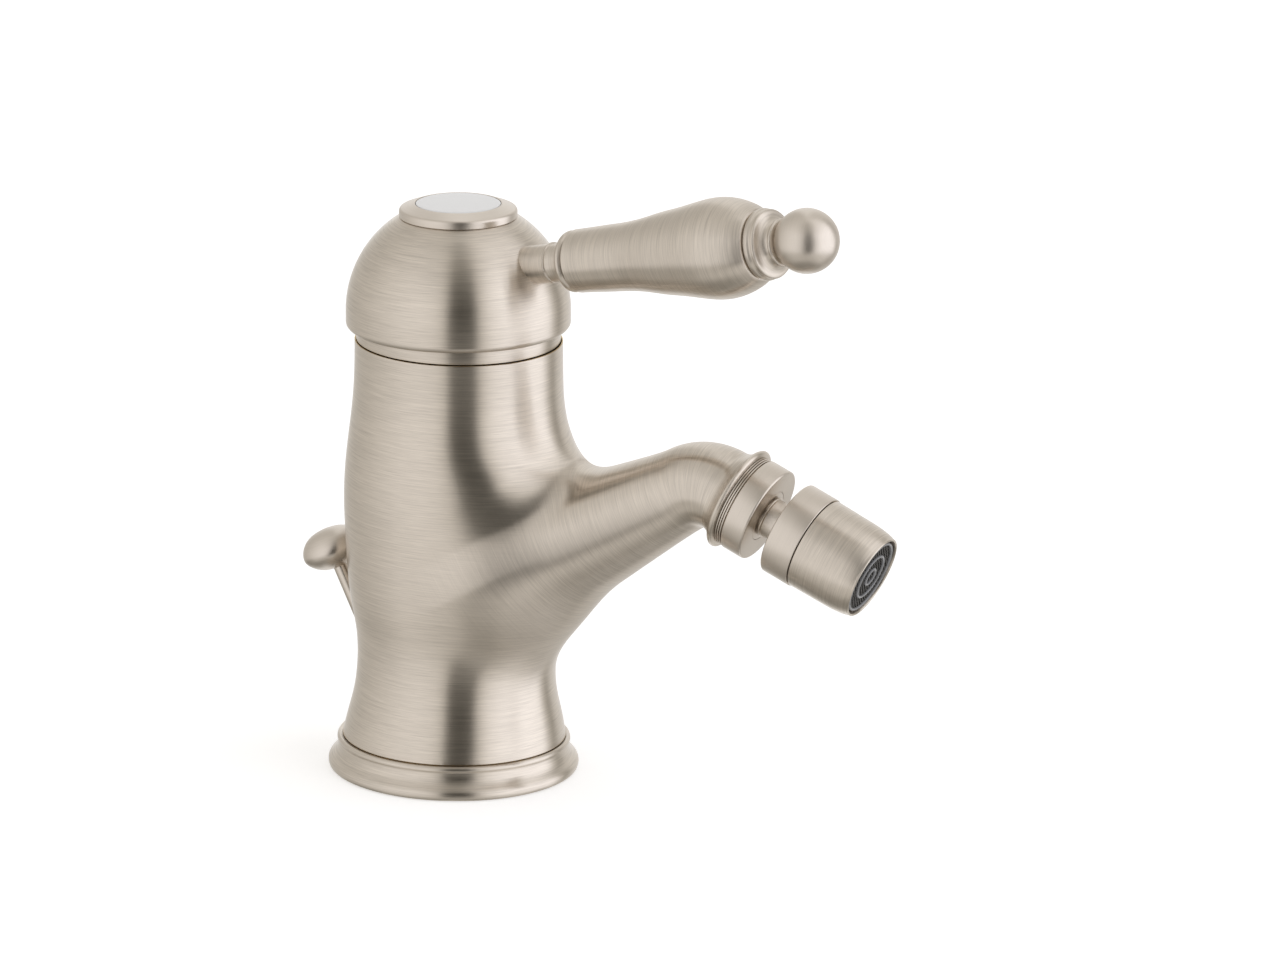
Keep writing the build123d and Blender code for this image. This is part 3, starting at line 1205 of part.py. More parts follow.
PIECES = {
    "base_ring": base_ring,
    "base_gasket": base_gasket,
    "mixer_body": mixer_body,
    "rod_bush": rod_bush,
    "lift_rod": lift_rod,
    "lift_knob": lift_knob,
    "port_seals": port_seals,
    "cartridge_base": cartridge_base,
    "cartridge_case": cartridge_case,
    "fixed_disc": fixed_disc,
    "moving_disc": moving_disc,
    "disc_carrier": disc_carrier,
    "stem_guide": stem_guide,
    "stem_pin": stem_pin,
    "lever_stem": lever_stem,
    "handle_screw": handle_screw,
    "cartridge_nut": cartridge_nut,
    "trim_ring": trim_ring,
    "dome": dome,
    "cap_ring": cap_ring,
    "index_disc": index_disc,
    "lever_neck": lever_neck,
    "lever_grip": lever_grip,
    "lever_collar": lever_collar,
    "lever_ball": lever_ball,
    "tie_rod": tie_rod,
    "swivel_collar": swivel_collar,
    "ball_seat": ball_seat,
    "socket_seal": socket_seal,
    "ball_stem": ball_stem,
    "aerator_collar": aerator_collar,
    "aerator_cap": aerator_cap,
    "aerator_insert": aerator_insert,
    "aerator_mesh": aerator_mesh,
    "aerator_washer": aerator_washer,
}

if __name__ == "__main__":
    os.makedirs("parts", exist_ok=True)
    for name, make in PIECES.items():
        export_step(make(), f"parts/{name}.step")
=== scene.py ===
import json
from contextlib import contextmanager
from math import atan, cos, degrees, pi, radians, sin, sqrt, tan

import bmesh
import bpy
import numpy as np
from bpy.props import FloatProperty, FloatVectorProperty, IntProperty, PointerProperty
from mathutils import Matrix, Vector


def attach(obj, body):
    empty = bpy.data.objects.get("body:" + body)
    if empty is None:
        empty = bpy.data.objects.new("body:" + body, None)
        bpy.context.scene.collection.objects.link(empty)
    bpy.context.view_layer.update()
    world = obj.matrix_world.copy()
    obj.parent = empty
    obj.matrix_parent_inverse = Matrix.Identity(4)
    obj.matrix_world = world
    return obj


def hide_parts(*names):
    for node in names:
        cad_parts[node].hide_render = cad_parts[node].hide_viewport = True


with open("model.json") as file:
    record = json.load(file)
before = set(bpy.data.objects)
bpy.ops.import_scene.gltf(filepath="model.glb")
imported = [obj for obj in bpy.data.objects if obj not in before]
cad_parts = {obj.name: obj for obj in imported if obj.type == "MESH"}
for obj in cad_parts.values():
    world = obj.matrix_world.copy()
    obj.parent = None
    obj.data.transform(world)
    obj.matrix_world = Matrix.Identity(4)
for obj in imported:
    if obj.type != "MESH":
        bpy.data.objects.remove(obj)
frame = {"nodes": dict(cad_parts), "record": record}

bl_info = {
    "name": "Bidet mixer looks",
    "version": (1, 0, 0),
    "blender": (4, 5, 0),
    "location": "3D View > Sidebar > Mixer",
    "description": "Builds the surfaces, finishes and studio of a bidet mixer round its CAD frame",
    "category": "Object",
}

MM = 0.001

# Foot and body, in millimetres from the underside of the base ring
BASE_HEIGHT = 8.5
BODY_TOP_Z = 110.2
BELLY_R = 27.95
FRONT_SWELL = 6.0
BODY_STATION_SHARES = (0, 0.05, 0.11, 0.18, 0.26, 0.34, 0.42, 0.51, 0.6, 0.69, 0.78, 0.86, 0.93, 1)
BODY_RADIUS_SHARES = (
    0.991, 0.949, 0.897, 0.869, 0.878, 0.928, 0.964,
    0.986, 1, 0.989, 0.956, 0.928, 0.918, 0.918,
)
BODY_SWELL_SHARES = (0.05, 0.12, 0.147, 0.215, 0.53, 0.93, 1.05, 1, 1, 0.82, 0.25, 0.085, 0.075, 0.04)
BASE_RING_BORE_R = 26.13
BODY_MOUTH_R = 23.33
EDGE_ROUND = 0.3
SKIN_COVER = 0.4
FOOT_COVER = 0.05
TRIM_SEAM_Z = 110.36
TRIM_TOP_Z = 114.4

# Spout: a root that narrows on its way out of the body, an arch and the flange at its end
FLANGE_X = 77.13
FLANGE_Z = 80.71
END_FALL = radians(22.05)
SPOUT_RISE = radians(30.1)
ARCH_R = 12.0
ARCH_SETBACK = 3.1
TUBE_R = 10.5
ROOT_LENGTH = 56.0
ROOT_R = 18.4
ROOT_EASE = 3.6
ROOT_WIDENING = 0.42
ROOT_LIFT = 2.0
ROOT_CLOSE_LEAD = 14.0
ROOT_CLOSE_EASE = 12.0

# Blend between spout and body: its width over and under the spout, at the sides, and the cut upwards
BLEND_WIDTH = 12.5
SIDE_BLEND_WIDTH = 8.0
TOP_BLEND_CUT = 4.0

# Handle, as it stands at rest
PIVOT_Z = 109.5
LIFT_SHOWN = radians(0.9)
LEVER_TURN = radians(9.3)
LEVER_CROSS_Z = 127.28
LEVER_RISE = radians(12.77)
CAP_FOOT_Z = 139.6
CAP_SEAT_Z = 141.45
CAP_R = 14.6
DISC_SEAT_Z = 142.45
DISC_EDGE_Z = 144.72

# Lever, along its own axis
TIE_BORE_R = 3.03
NECK_SEAM = 37.34
GRIP_START = 37.94
GRIP_END = GRIP_START + 55.9
GRIP_POCKET_R = 6.03
COLLAR_START = GRIP_END + 0.15
COLLAR_END = COLLAR_START + 6.7
BALL_CENTRE = COLLAR_END + 6.6

# Ball joint and aerator, along the axis of the spout's end
RIM_WIDTH = 1.5
SOCKET_CENTRE = 4.0
SOCKET_R = 8.5
SWIVEL_R = 12.1
SWIVEL_FACE = 9.3
GROOVE_WIDTH = 0.6
STEM_R = 5.0
STEM_BORE_R = 3.2
AERATOR_R = 12.0
AERATOR_BACK = 15.1
AERATOR_FRONT = 22.8
CAP_BORE_R = 10.0
INSERT_FACE = 39.75
INSERT_R = 9.85
MESH_R = 8.85
MESH_DEPTH = 0.62
MESH_PITCH = 0.62
WIRE_R = 0.12

# Lift rod behind the body
ROD_X = -32.5
ROD_Z = 46.7
ROD_FOOT_Z = 1.6
ROD_LEAN = radians(26.8)
ROD_R = 1.8
ROD_HOLE_R = 3.03
ROD_HOLE_DEPTH = 1.5


def smooth_curve(x, xs, ys):
    """Natural cubic spline through (xs, ys), read at x."""
    xs = np.asarray(xs, float)
    ys = np.asarray(ys, float)
    gap = np.diff(xs)
    slope = np.diff(ys) / gap
    size = len(xs)
    system = np.eye(size)
    right = np.zeros(size)
    for index in range(1, size - 1):
        system[index, index - 1] = gap[index - 1]
        system[index, index] = 2 * (gap[index - 1] + gap[index])
        system[index, index + 1] = gap[index]
        right[index] = 6 * (slope[index] - slope[index - 1])
    bend = np.linalg.solve(system, right)
    cell = np.clip(np.searchsorted(xs, x) - 1, 0, size - 2)
    step = gap[cell]
    after = np.clip(x, xs[0], xs[-1]) - xs[cell]
    before = step - after
    return (
        (bend[cell] * before**3 + bend[cell + 1] * after**3) / (6 * step)
        + (ys[cell] / step - bend[cell] * step / 6) * before
        + (ys[cell + 1] / step - bend[cell + 1] * step / 6) * after
    )


def curve_points(points, steps):
    """Points (radius, height) on a smooth curve through the given ones."""
    given = np.array(points, float)
    run = np.concatenate([[0], np.cumsum(np.hypot(*np.diff(given, axis=0).T))])
    places = np.linspace(0, run[-1], steps)
    return list(zip(smooth_curve(places, run, given[:, 0]), smooth_curve(places, run, given[:, 1])))


def arc_points(centre, radius, start, end, steps):
    """Points (radius, height) on an arc; angles in degrees from the outward direction."""
    points = []
    for angle in np.radians(np.linspace(start, end, steps)):
        points.append((centre[0] + radius * cos(angle), centre[1] + radius * sin(angle)))
    return points


def rounded(corners, steps=6):
    """An outline of (radius, height, corner radius) with its corners rounded."""
    outline = []
    for index, corner in enumerate(corners):
        here = Vector(corner[:2])
        size = corner[2] if len(corner) > 2 else 0
        if size <= 0 or index in (0, len(corners) - 1):
            outline.append(tuple(here))
            continue
        before = (Vector(corners[index - 1][:2]) - here).normalized()
        after = (Vector(corners[index + 1][:2]) - here).normalized()
        half = before.angle(after) / 2
        reach = size / tan(half)
        middle = here + (before + after).normalized() * (size / sin(half))
        first = here + before * reach - middle
        turn = first.angle_signed(here + after * reach - middle)
        for step in range(steps + 1):
            outline.append(tuple(middle + Matrix.Rotation(-turn * step / steps, 2) @ first))
    return outline


# Places of the pieces' own axes
def place(origin, towards, turn_side=Vector((0, 1, 0))):
    """Matrix of a frame whose Z axis points along a direction."""
    z = Vector(towards).normalized()
    x = Vector(turn_side)
    y = z.cross(x).normalized()
    x = y.cross(z)
    matrix = Matrix((x, y, z)).transposed().to_4x4()
    matrix.translation = Vector(origin)
    return matrix


UPRIGHT = Matrix.Identity(4)
END_PLACE = place((FLANGE_X, 0, FLANGE_Z), (cos(END_FALL), 0, -sin(END_FALL)))
HANDLE_PLACE = (
    Matrix.Rotation(-LEVER_TURN, 4, "Z")
    @ Matrix.Translation((0, 0, PIVOT_Z))
    @ Matrix.Rotation(-LIFT_SHOWN, 4, "Y")
    @ Matrix.Translation((0, 0, -PIVOT_Z))
)
LEVER_PLACE = HANDLE_PLACE @ place((0, 0, LEVER_CROSS_Z), (cos(LEVER_RISE), 0, sin(LEVER_RISE)))
ROD_PLACE = place((ROD_X, 0, ROD_Z), (-sin(ROD_LEAN), 0, cos(ROD_LEAN)))


def linked(name, data):
    """A new object in the scene."""
    obj = bpy.data.objects.new(name, data)
    bpy.context.scene.collection.objects.link(obj)
    return obj


def upwards(points):
    """The upward direction once for each point."""
    return np.tile((0.0, 0.0, 1.0), (len(points), 1))


def new_object(name, vertices, faces, own, across, extra=None):
    """A mesh object in metres with its brushing attributes.

    own holds each vertex's place in the frame that it was turned in, in millimetres, and
    across the direction across the brush marks there.
    """
    mesh = bpy.data.meshes.new(name)
    mesh.from_pydata((np.asarray(vertices) * MM).tolist(), [], faces)
    mesh.update()
    fields = {"turned_place": own, "across_marks": across}
    fields.update(extra or {})
    for field, values in fields.items():
        values = np.asarray(values, np.float32)
        kind = "FLOAT_VECTOR" if values.ndim == 2 else "FLOAT"
        layer = mesh.attributes.new(field, kind, "POINT")
        layer.data.foreach_set("vector" if values.ndim == 2 else "value", values.ravel())
    obj = linked(name, mesh)
    mesh.shade_smooth()
    mesh.set_sharp_from_angle(angle=radians(40))
    return obj


def turned(name, outline, matrix, segments):
    """A turned surface: an outline of (radius, height) swept round a frame's Z axis."""
    outline = np.array(outline, float)
    keep = np.concatenate([[True], np.hypot(*np.diff(outline, axis=0).T) > 1e-6])
    outline = outline[keep]
    angles = np.linspace(0, 2 * pi, segments, endpoint=False)
    own = []
    faces = []
    rings = []
    for radius, height in outline:
        start = len(own)
        if radius < 1e-6:
            own.append((0, 0, height))
            rings.append([start] * segments)
        else:
            own.extend((radius * cos(a), radius * sin(a), height) for a in angles)
            rings.append(list(range(start, start + segments)))
    for low, high in zip(rings, rings[1:]):
        for index in range(segments):
            after = (index + 1) % segments
            face = []
            for corner in (low[index], low[after], high[after], high[index]):
                if corner not in face:
                    face.append(corner)
            if len(face) > 2:
                faces.append(face)
    own = np.array(own)
    placed = np.array(matrix)
    vertices = own @ placed[:3, :3].T + placed[:3, 3]
    across = np.tile(placed[:3, 2], (len(own), 1))
    return new_object(name, vertices, faces, own, across)


def finish_piece(obj, material, body, *nodes):
    """Give a piece its material, the body that it moves with and the CAD nodes it stands for."""
    obj.data.materials.clear()
    obj.data.materials.append(material)
    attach(obj, body)
    for node in nodes:
        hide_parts(node)
    return obj


# The body and the spout as one field, negative inside
def body_field(p):
    """Distance of points from the body's swelling column."""
    rho = np.hypot(p[:, 0], p[:, 1])
    heights = BASE_HEIGHT + (BODY_TOP_Z - BASE_HEIGHT) * np.array(BODY_STATION_SHARES)
    radius = smooth_curve(p[:, 2], heights, BELLY_R * np.array(BODY_RADIUS_SHARES))
    swell = smooth_curve(p[:, 2], heights, FRONT_SWELL * np.array(BODY_SWELL_SHARES))
    forward = np.maximum(p[:, 0] / np.maximum(rho, 1e-6), 0)
    return rho - radius - swell * forward**3


END_DIRECTION = np.array((cos(END_FALL), 0, -sin(END_FALL)))
ARCH_END = np.array((FLANGE_X, 0, FLANGE_Z)) - END_DIRECTION * ARCH_SETBACK
ARCH_CENTRE = ARCH_END - np.array((sin(END_FALL), 0, cos(END_FALL))) * ARCH_R
ROOT_DIRECTION = np.array((cos(SPOUT_RISE), 0, sin(SPOUT_RISE)))
ARCH_START = ARCH_CENTRE + np.array((-sin(SPOUT_RISE), 0, cos(SPOUT_RISE))) * ARCH_R
ARCH_SWEEP = SPOUT_RISE + END_FALL


def spout_coordinates(p):
    """Place of points round the spout's centre line: along it, sideways and upwards."""
    across_up = np.array((-sin(SPOUT_RISE), 0, cos(SPOUT_RISE)))
    from_start = p - ARCH_START
    along = from_start @ ROOT_DIRECTION
    up = from_start @ across_up
    from_centre = p - ARCH_CENTRE
    turn = SPOUT_RISE + np.arctan2(from_centre[:, 0], from_centre[:, 2])
    on_arch = (along > 0) & (turn < ARCH_SWEEP)
    along = np.where(on_arch, turn * ARCH_R, along)
    up = np.where(on_arch, np.hypot(from_centre[:, 0], from_centre[:, 2]) - ARCH_R, up)
    beyond = (from_start @ ROOT_DIRECTION > 0) & (turn >= ARCH_SWEEP)
    from_end = p - ARCH_END
    end_up = np.array((sin(END_FALL), 0, cos(END_FALL)))
    along = np.where(beyond, ARCH_SWEEP * ARCH_R + from_end @ END_DIRECTION, along)
    up = np.where(beyond, from_end @ end_up, up)
    return along, p[:, 1], up


def spout_field(p):
    """Distance of points from the spout, whose root widens and flattens into the body."""
    along, side, up = spout_coordinates(p)
    back = np.maximum(-along, 0)
    taper = np.sqrt(back**2 + ROOT_EASE**2) - ROOT_EASE
    share = taper / (sqrt(ROOT_LENGTH**2 + ROOT_EASE**2) - ROOT_EASE)
    beyond = np.maximum(back - ROOT_LENGTH + ROOT_CLOSE_LEAD, 0)
    beyond = beyond**2 / (beyond + ROOT_CLOSE_EASE)
    up = up - ROOT_LIFT * share * (side / ROOT_R) ** 2
    side = side / (1 + ROOT_WIDENING * share)
    return np.sqrt(side**2 + up**2 + beyond**2) - TUBE_R - (ROOT_R - TUBE_R) * share


def casting_field(p):
    """The smooth union of body and spout, tighter at the spout's sides."""
    a = body_field(p)
    b = spout_field(p)
    _, side, up = spout_coordinates(p)
    sideways = side**2 / (side**2 + up**2 + 1e-6)
    side_width = SIDE_BLEND_WIDTH - TOP_BLEND_CUT * np.clip(up / TUBE_R, 0, 1)
    width = BLEND_WIDTH + (side_width - BLEND_WIDTH) * sideways
    mix = np.maximum(width - np.abs(a - b), 0) / width
    return np.minimum(a, b) - mix**2 * width / 4


def gradient(field, p, reach=0.02):
    """Slope of a field by central differences."""
    slope = np.empty_like(p)
    for axis in range(3):
        shift = np.zeros(3)
        shift[axis] = reach
        slope[:, axis] = (field(p + shift) - field(p - shift)) / (2 * reach)
    return slope


def settle(field, p, rounds):
    """Move points onto the field's zero surface."""
    for _ in range(rounds):
        slope = gradient(field, p)
        p = p - slope * (field(p) / np.maximum((slope**2).sum(1), 1e-9))[:, None]
    return p


def surface_net(field, low, high, step):
    """Vertices and quads of a field's zero surface inside a box."""
    axes = [np.arange(a, b + step, step) for a, b in zip(low, high)]
    grid = np.stack(np.meshgrid(*axes, indexing="ij"), -1)
    shape = grid.shape[:3]
    values = field(grid.reshape(-1, 3)).reshape(shape)
    inside = values < 0
    cells = tuple(n - 1 for n in shape)
    total = np.zeros(cells + (3,))
    count = np.zeros(cells)
    crossings = []
    for axis in range(3):
        first = [slice(None)] * 3
        second = [slice(None)] * 3
        first[axis] = slice(0, -1)
        second[axis] = slice(1, None)
        a = values[tuple(first)]
        b = values[tuple(second)]
        where = np.argwhere(inside[tuple(first)] != inside[tuple(second)])
        at = tuple(where.T)
        share = a[at] / (a[at] - b[at])
        point = where.astype(float)
        point[:, axis] += share
        others = [n for n in range(3) if n != axis]
        ring = []
        for shift in ((0, 0), (1, 0), (1, 1), (0, 1)):
            cell = where.copy()
            cell[:, others[0]] -= shift[0]
            cell[:, others[1]] -= shift[1]
            ring.append(cell)
        ring = np.stack(ring, 1)
        valid = ((ring >= 0) & (ring < np.array(cells))).all(2)
        for corner in range(4):
            good = valid[:, corner]
            cell = tuple(ring[good, corner].T)
            np.add.at(total, cell, point[good])
            np.add.at(count, cell, 1)
        whole = valid.all(1)
        flip = inside[tuple(first)][at] != (axis == 1)
        crossings.append((ring[whole], flip[whole]))
    used = count > 0
    number = np.full(cells, -1)
    number[used] = np.arange(used.sum())
    vertices = total[used] / count[used][:, None] * step + np.array(low)
    quads = []
    for ring, flip in crossings:
        quad = number[ring[..., 0], ring[..., 1], ring[..., 2]]
        quad = np.where(flip[:, None], quad[:, ::-1], quad)
        quads.append(quad)
    return vertices, np.concatenate(quads)


def relax(vertices, quads, rounds):
    """Even out a net by moving each vertex to the middle of its neighbours."""
    edges = np.concatenate([quads[:, [a, (a + 1) % 4]] for a in range(4)])
    for _ in range(rounds):
        total = np.zeros_like(vertices)
        count = np.zeros(len(vertices))
        np.add.at(total, edges[:, 0], vertices[edges[:, 1]])
        np.add.at(count, edges[:, 0], 1)
        vertices = 0.5 * vertices + 0.5 * total / count[:, None]
    return vertices


@contextmanager
def editing(mesh):
    """A mesh opened for editing and written back at the end."""
    bm = bmesh.new()
    bm.from_mesh(mesh)
    yield bm
    bm.to_mesh(mesh)
    bm.free()


def trim(mesh, point, normal):
    """Cut a mesh off on the side that a plane's normal points to."""
    with editing(mesh) as bm:
        bmesh.ops.bisect_plane(
            bm,
            geom=bm.verts[:] + bm.edges[:] + bm.faces[:],
            plane_co=Vector(point) * MM,
            plane_no=Vector(normal),
            clear_outer=True,
        )


def roll_lip(bm, height, inner_radius, steps=4):
    """Round the open edge at a height over and lead it inwards to a radius."""
    near = 0.02 * MM
    rim = [e for e in bm.edges if e.is_boundary and all(abs(v.co.z - height * MM) < near for v in e.verts)]
    for step in range(1, steps + 2):
        grown = bmesh.ops.extrude_edge_only(bm, edges=rim)["geom"]
        rim = [g for g in grown if isinstance(g, bmesh.types.BMEdge) and g.is_boundary]
        before = radians(90 / steps * (step - 1))
        now = radians(90 / steps * step)
        for v in grown:
            if not isinstance(v, bmesh.types.BMVert):
                continue
            out = Vector((v.co.x, v.co.y, 0)).normalized()
            if step <= steps:
                v.co -= out * (cos(before) - cos(now)) * EDGE_ROUND * MM
                v.co.z += (sin(now) - sin(before)) * EDGE_ROUND * MM
            else:
                v.co.x = out.x * inner_radius * MM
                v.co.y = out.y * inner_radius * MM
    bmesh.ops.recalc_face_normals(bm, faces=bm.faces[:])


def pierce(bm, field, line, radius, depth):
    """Open a round hole in the skin round a line, with a short wall inside."""
    direction = line.to_3x3() @ Vector((0, 0, 1))
    origin = line.translation

    def parts(vertex):
        offset = vertex.co / MM - origin
        along = offset.dot(direction)
        return along, offset - direction * along

    doomed = [f for f in bm.faces if any(parts(v)[1].length < radius for v in f.verts)]
    bmesh.ops.delete(bm, geom=doomed, context="FACES")
    near = radius + 3
    edges = [e for e in bm.edges if e.is_boundary and all(parts(v)[1].length < near for v in e.verts)]
    step = np.array(direction)
    for v in {v for e in edges for v in e.verts}:
        along, out = parts(v)
        point = np.array([origin + direction * along + out.normalized() * radius])
        for _ in range(5):
            point = point - np.outer(field(point) / (gradient(field, point) @ step), step)
        v.co = Vector(point[0]) * MM
    for v in bmesh.ops.extrude_edge_only(bm, edges=edges)["geom"]:
        if isinstance(v, bmesh.types.BMVert):
            v.co -= direction * depth * MM
    bmesh.ops.recalc_face_normals(bm, faces=bm.faces[:])


def brush_directions(points, blend):
    """Direction across the brush marks at points, and the share of the spout's own brushing."""
    share = np.clip(0.5 + (body_field(points) - spout_field(points)) / blend, 0, 1)
    share = share**2 * (3 - 2 * share)
    slope = gradient(casting_field, points)
    slope /= np.linalg.norm(slope, axis=1)[:, None]
    heading = gradient(lambda p: spout_coordinates(p)[0], points)
    upright = upwards(points)
    heading *= np.sign((heading * upright).sum(1) + 1e-9)[:, None]
    across = upright * (1 - share)[:, None] + heading * share[:, None]
    across -= slope * (across * slope).sum(1)[:, None]
    across /= np.maximum(np.linalg.norm(across, axis=1), 1e-6)[:, None]
    return across, share


def mesh_points(mesh):
    """A mesh's vertices in millimetres."""
    points = np.empty(len(mesh.vertices) * 3)
    mesh.vertices.foreach_get("co", points)
    return points.reshape(-1, 3) / MM


def build_casting(step, grain_blend):
    """The outside of body and spout as one smooth skin."""
    low = (-BELLY_R - 2 * step, -BELLY_R - 2 * step, BASE_HEIGHT - 2 * step)
    high = (FLANGE_X + 3, BELLY_R + 2 * step, BODY_TOP_Z + 2 * step)
    vertices, quads = surface_net(casting_field, low, high, step)
    vertices = settle(casting_field, vertices, 3)
    vertices = settle(casting_field, relax(vertices, quads, 3), 3)
    mesh = bpy.data.meshes.new("casting_skin")
    mesh.from_pydata((vertices * MM).tolist(), [], quads.tolist())
    trim(mesh, (0, 0, BODY_TOP_Z - EDGE_ROUND), (0, 0, 1))
    trim(mesh, (0, 0, BASE_HEIGHT), (0, 0, -1))
    trim(mesh, tuple(ARCH_END), tuple(END_DIRECTION))
    with editing(mesh) as bm:
        roll_lip(bm, BODY_TOP_Z - EDGE_ROUND, BODY_MOUTH_R)
    with editing(mesh) as bm:
        pierce(bm, casting_field, ROD_PLACE, ROD_HOLE_R, ROD_HOLE_DEPTH)
    points = mesh_points(mesh)
    faces = [list(face.vertices) for face in mesh.polygons]
    across, share = brush_directions(points, grain_blend)
    along, side, up = spout_coordinates(points)
    extra = {"spout_place": np.stack([side, up, along], 1), "spout_share": share}
    return new_object("body_and_spout", points, faces, points, across, extra)


def inner_faces(node, name, keep):
    """A copy of the CAD node's faces whose middles a test keeps."""
    source = frame["nodes"][node].data
    points = mesh_points(source)
    middles = np.array([points[list(face.vertices)].mean(0) for face in source.polygons])
    kept = keep(middles)
    faces = [list(face.vertices) for face, wanted in zip(source.polygons, kept) if wanted]
    used = sorted({index for face in faces for index in face})
    renumber = {old: new for new, old in enumerate(used)}
    faces = [[renumber[index] for index in face] for face in faces]
    points = points[used]
    return new_object(name, points, faces, points, upwards(points))


# Outlines, radius and height in each piece's own frame
def base_ring_outline():
    """Rounded lip, cove and bead."""
    lip = curve_points([(30.2, 0), (30.95, 0.45), (31.25, 1.4), (31.12, 2.3), (30.6, 3.0)], 14)
    cove = curve_points([(30.6, 3.0), (29.85, 3.75), (29.25, 4.6), (28.95, 5.5), (28.87, 6.6)], 14)
    bead = arc_points((28.2, 7.45), 0.88, -40, 75, 12)
    top = [(28.1, 8.2), (27.3, 8.1), (BASE_RING_BORE_R, 8.1), (BASE_RING_BORE_R, 0)]
    return [(BASE_RING_BORE_R, 0), (30.2, 0)] + lip[1:] + cove[1:] + bead + top


def trim_ring_outline():
    """Plain ring with a spigot that goes into the body's mouth."""
    inner_r, outer_r, spigot_r = 21.4, 25.3, 23.27
    foot = 106.8
    top = [(inner_r, TRIM_TOP_Z), (outer_r, TRIM_TOP_Z, 0.3), (outer_r, TRIM_SEAM_Z, 0.15)]
    spigot = [(spigot_r, TRIM_SEAM_Z), (spigot_r, foot), (inner_r, foot), (inner_r, TRIM_TOP_Z)]
    return rounded(top + spigot)


def dome_outline():
    """Shell of the handle, with a rolled rim and the cap ring's seat on top."""
    outer_r, inner_r = 27.8, 26.1
    centre = 117.6
    rim, rim_round = 113.5, 1.5
    ledge = CAP_SEAT_Z - 0.01
    rise = CAP_SEAT_Z - centre
    top = degrees(atan(rise / sqrt(outer_r**2 - rise**2)))
    edge = arc_points((outer_r - rim_round, rim + rim_round), rim_round, -90, 0, 14)
    outside = arc_points((0, centre), outer_r, 0, top, 60)
    inside = arc_points((0, centre), inner_r, 62, 0, 24)
    seat = [(CAP_R, ledge), (13.6, ledge), (13.6, CAP_FOOT_Z), (5, CAP_FOOT_Z), (5, 137), (12.3, 137)]
    return [(inner_r, rim)] + edge + outside + seat + inside + [(inner_r, rim)]


def cap_ring_outline():
    """Ring with a rounded shoulder, a sloping top and a recess for the disc."""
    inner_r, spigot_r, recess_r = 9.2, 13.57, 10.6
    side_top = 142.75
    foot = [(inner_r, CAP_FOOT_Z), (spigot_r, CAP_FOOT_Z), (spigot_r, CAP_SEAT_Z)]
    side = rounded(foot + [(CAP_R, CAP_SEAT_Z, 0.15), (CAP_R, side_top)])
    shoulder = curve_points([(CAP_R, side_top), (14.52, 143.15), (14.28, 143.45), (13.9, 143.62)], 9)
    slope = [shoulder[-1], (10.75, DISC_EDGE_Z, 0.12), (recess_r, 144.6)]
    recess = [(recess_r, DISC_SEAT_Z), (inner_r, DISC_SEAT_Z), (inner_r, CAP_FOOT_Z)]
    return side[:-1] + shoulder + rounded(slope + recess)[1:]


def index_disc_outline():
    """Plain disc with a slightly crowned top."""
    radius = 10.45
    crown = 0.15
    top = []
    for angle in np.radians(np.linspace(15, 90, 14)):
        top.append((radius * cos(angle), DISC_EDGE_Z + crown * sin(angle)))
    return [(0, DISC_SEAT_Z), (radius, DISC_SEAT_Z), (radius, DISC_EDGE_Z - 0.1)] + top


def lever_neck_outline():
    """Turned neck with a bead, a waist and a ring against the grip."""
    shoulder, root, bore_end = 19.5, 12.5, 29.7
    pocket = NECK_SEAM + 2.5
    bead = arc_points((4.75, 30.3), 0.42, -75, 75, 10)
    waist = [(4.85, 30.8), (4.72, 31.6), (4.66, 33.2), (4.95, 34.5), (5.9, 35.35), (6.85, 35.6)]
    ring = arc_points((6.72, 36.5), 0.88, -78, 55, 12)
    spigot = [(7.1, NECK_SEAM + 0.05), (6.0, NECK_SEAM + 0.1), (6.0, pocket)]
    bore = [(TIE_BORE_R, pocket), (TIE_BORE_R, bore_end), (0, bore_end)]
    tail = [(0, root), (4.0, root), (4.0, shoulder), (4.7, shoulder)]
    return tail + bead + curve_points(waist, 26) + ring + spigot + bore


def lever_grip_outline():
    """Long swelling grip, slim at the neck and full towards the ball."""
    slim = [(7.8, GRIP_START + 0.5), (7.98, 43.5), (8.18, 47.5), (8.35, 52), (9.0, 58.6), (10.15, 65.3)]
    full = [(10.75, 69.8), (11.75, 76.0), (12.3, 80.0), (12.4, 82.2), (12.15, 85.2)]
    swell = curve_points(slim + full + [(11.2, 88.9), (9.9, 91.8), (8.9, GRIP_END - 0.5)], 90)
    pocket = GRIP_START + 2.6
    start = arc_points((7.4, GRIP_START + 0.4), 0.4, -90, -5, 7)
    end = [(8.6, GRIP_END - 0.1), (8.3, GRIP_END), (TIE_BORE_R, GRIP_END)]
    bore = [(TIE_BORE_R, pocket), (GRIP_POCKET_R, pocket), (GRIP_POCKET_R, GRIP_START)]
    return [(GRIP_POCKET_R, GRIP_START), (7.4, GRIP_START)] + start + swell + end + bore


def lever_collar_outline():
    """Bead, ridge, cove and a small ring under the ball."""
    bead = arc_points((7.72, COLLAR_START + 1.15), 1.05, -85, 48, 14)
    ridge = arc_points((7.85, COLLAR_START + 2.8), 0.6, -40, 75, 12)
    cove = [(7.95, 3.4), (7.1, 3.62), (6.25, 4.05), (5.6, 4.7), (5.32, 5.4)]
    cove = curve_points([(radius, COLLAR_START + height) for radius, height in cove], 16)
    ring = arc_points((5.3, COLLAR_START + 6.05), 0.6, -75, 85, 12)
    back = [(4.9, COLLAR_END), (TIE_BORE_R, COLLAR_END), (TIE_BORE_R, COLLAR_START)]
    return [(TIE_BORE_R, COLLAR_START), (7.4, COLLAR_START)] + bead + ridge + cove + ring + back


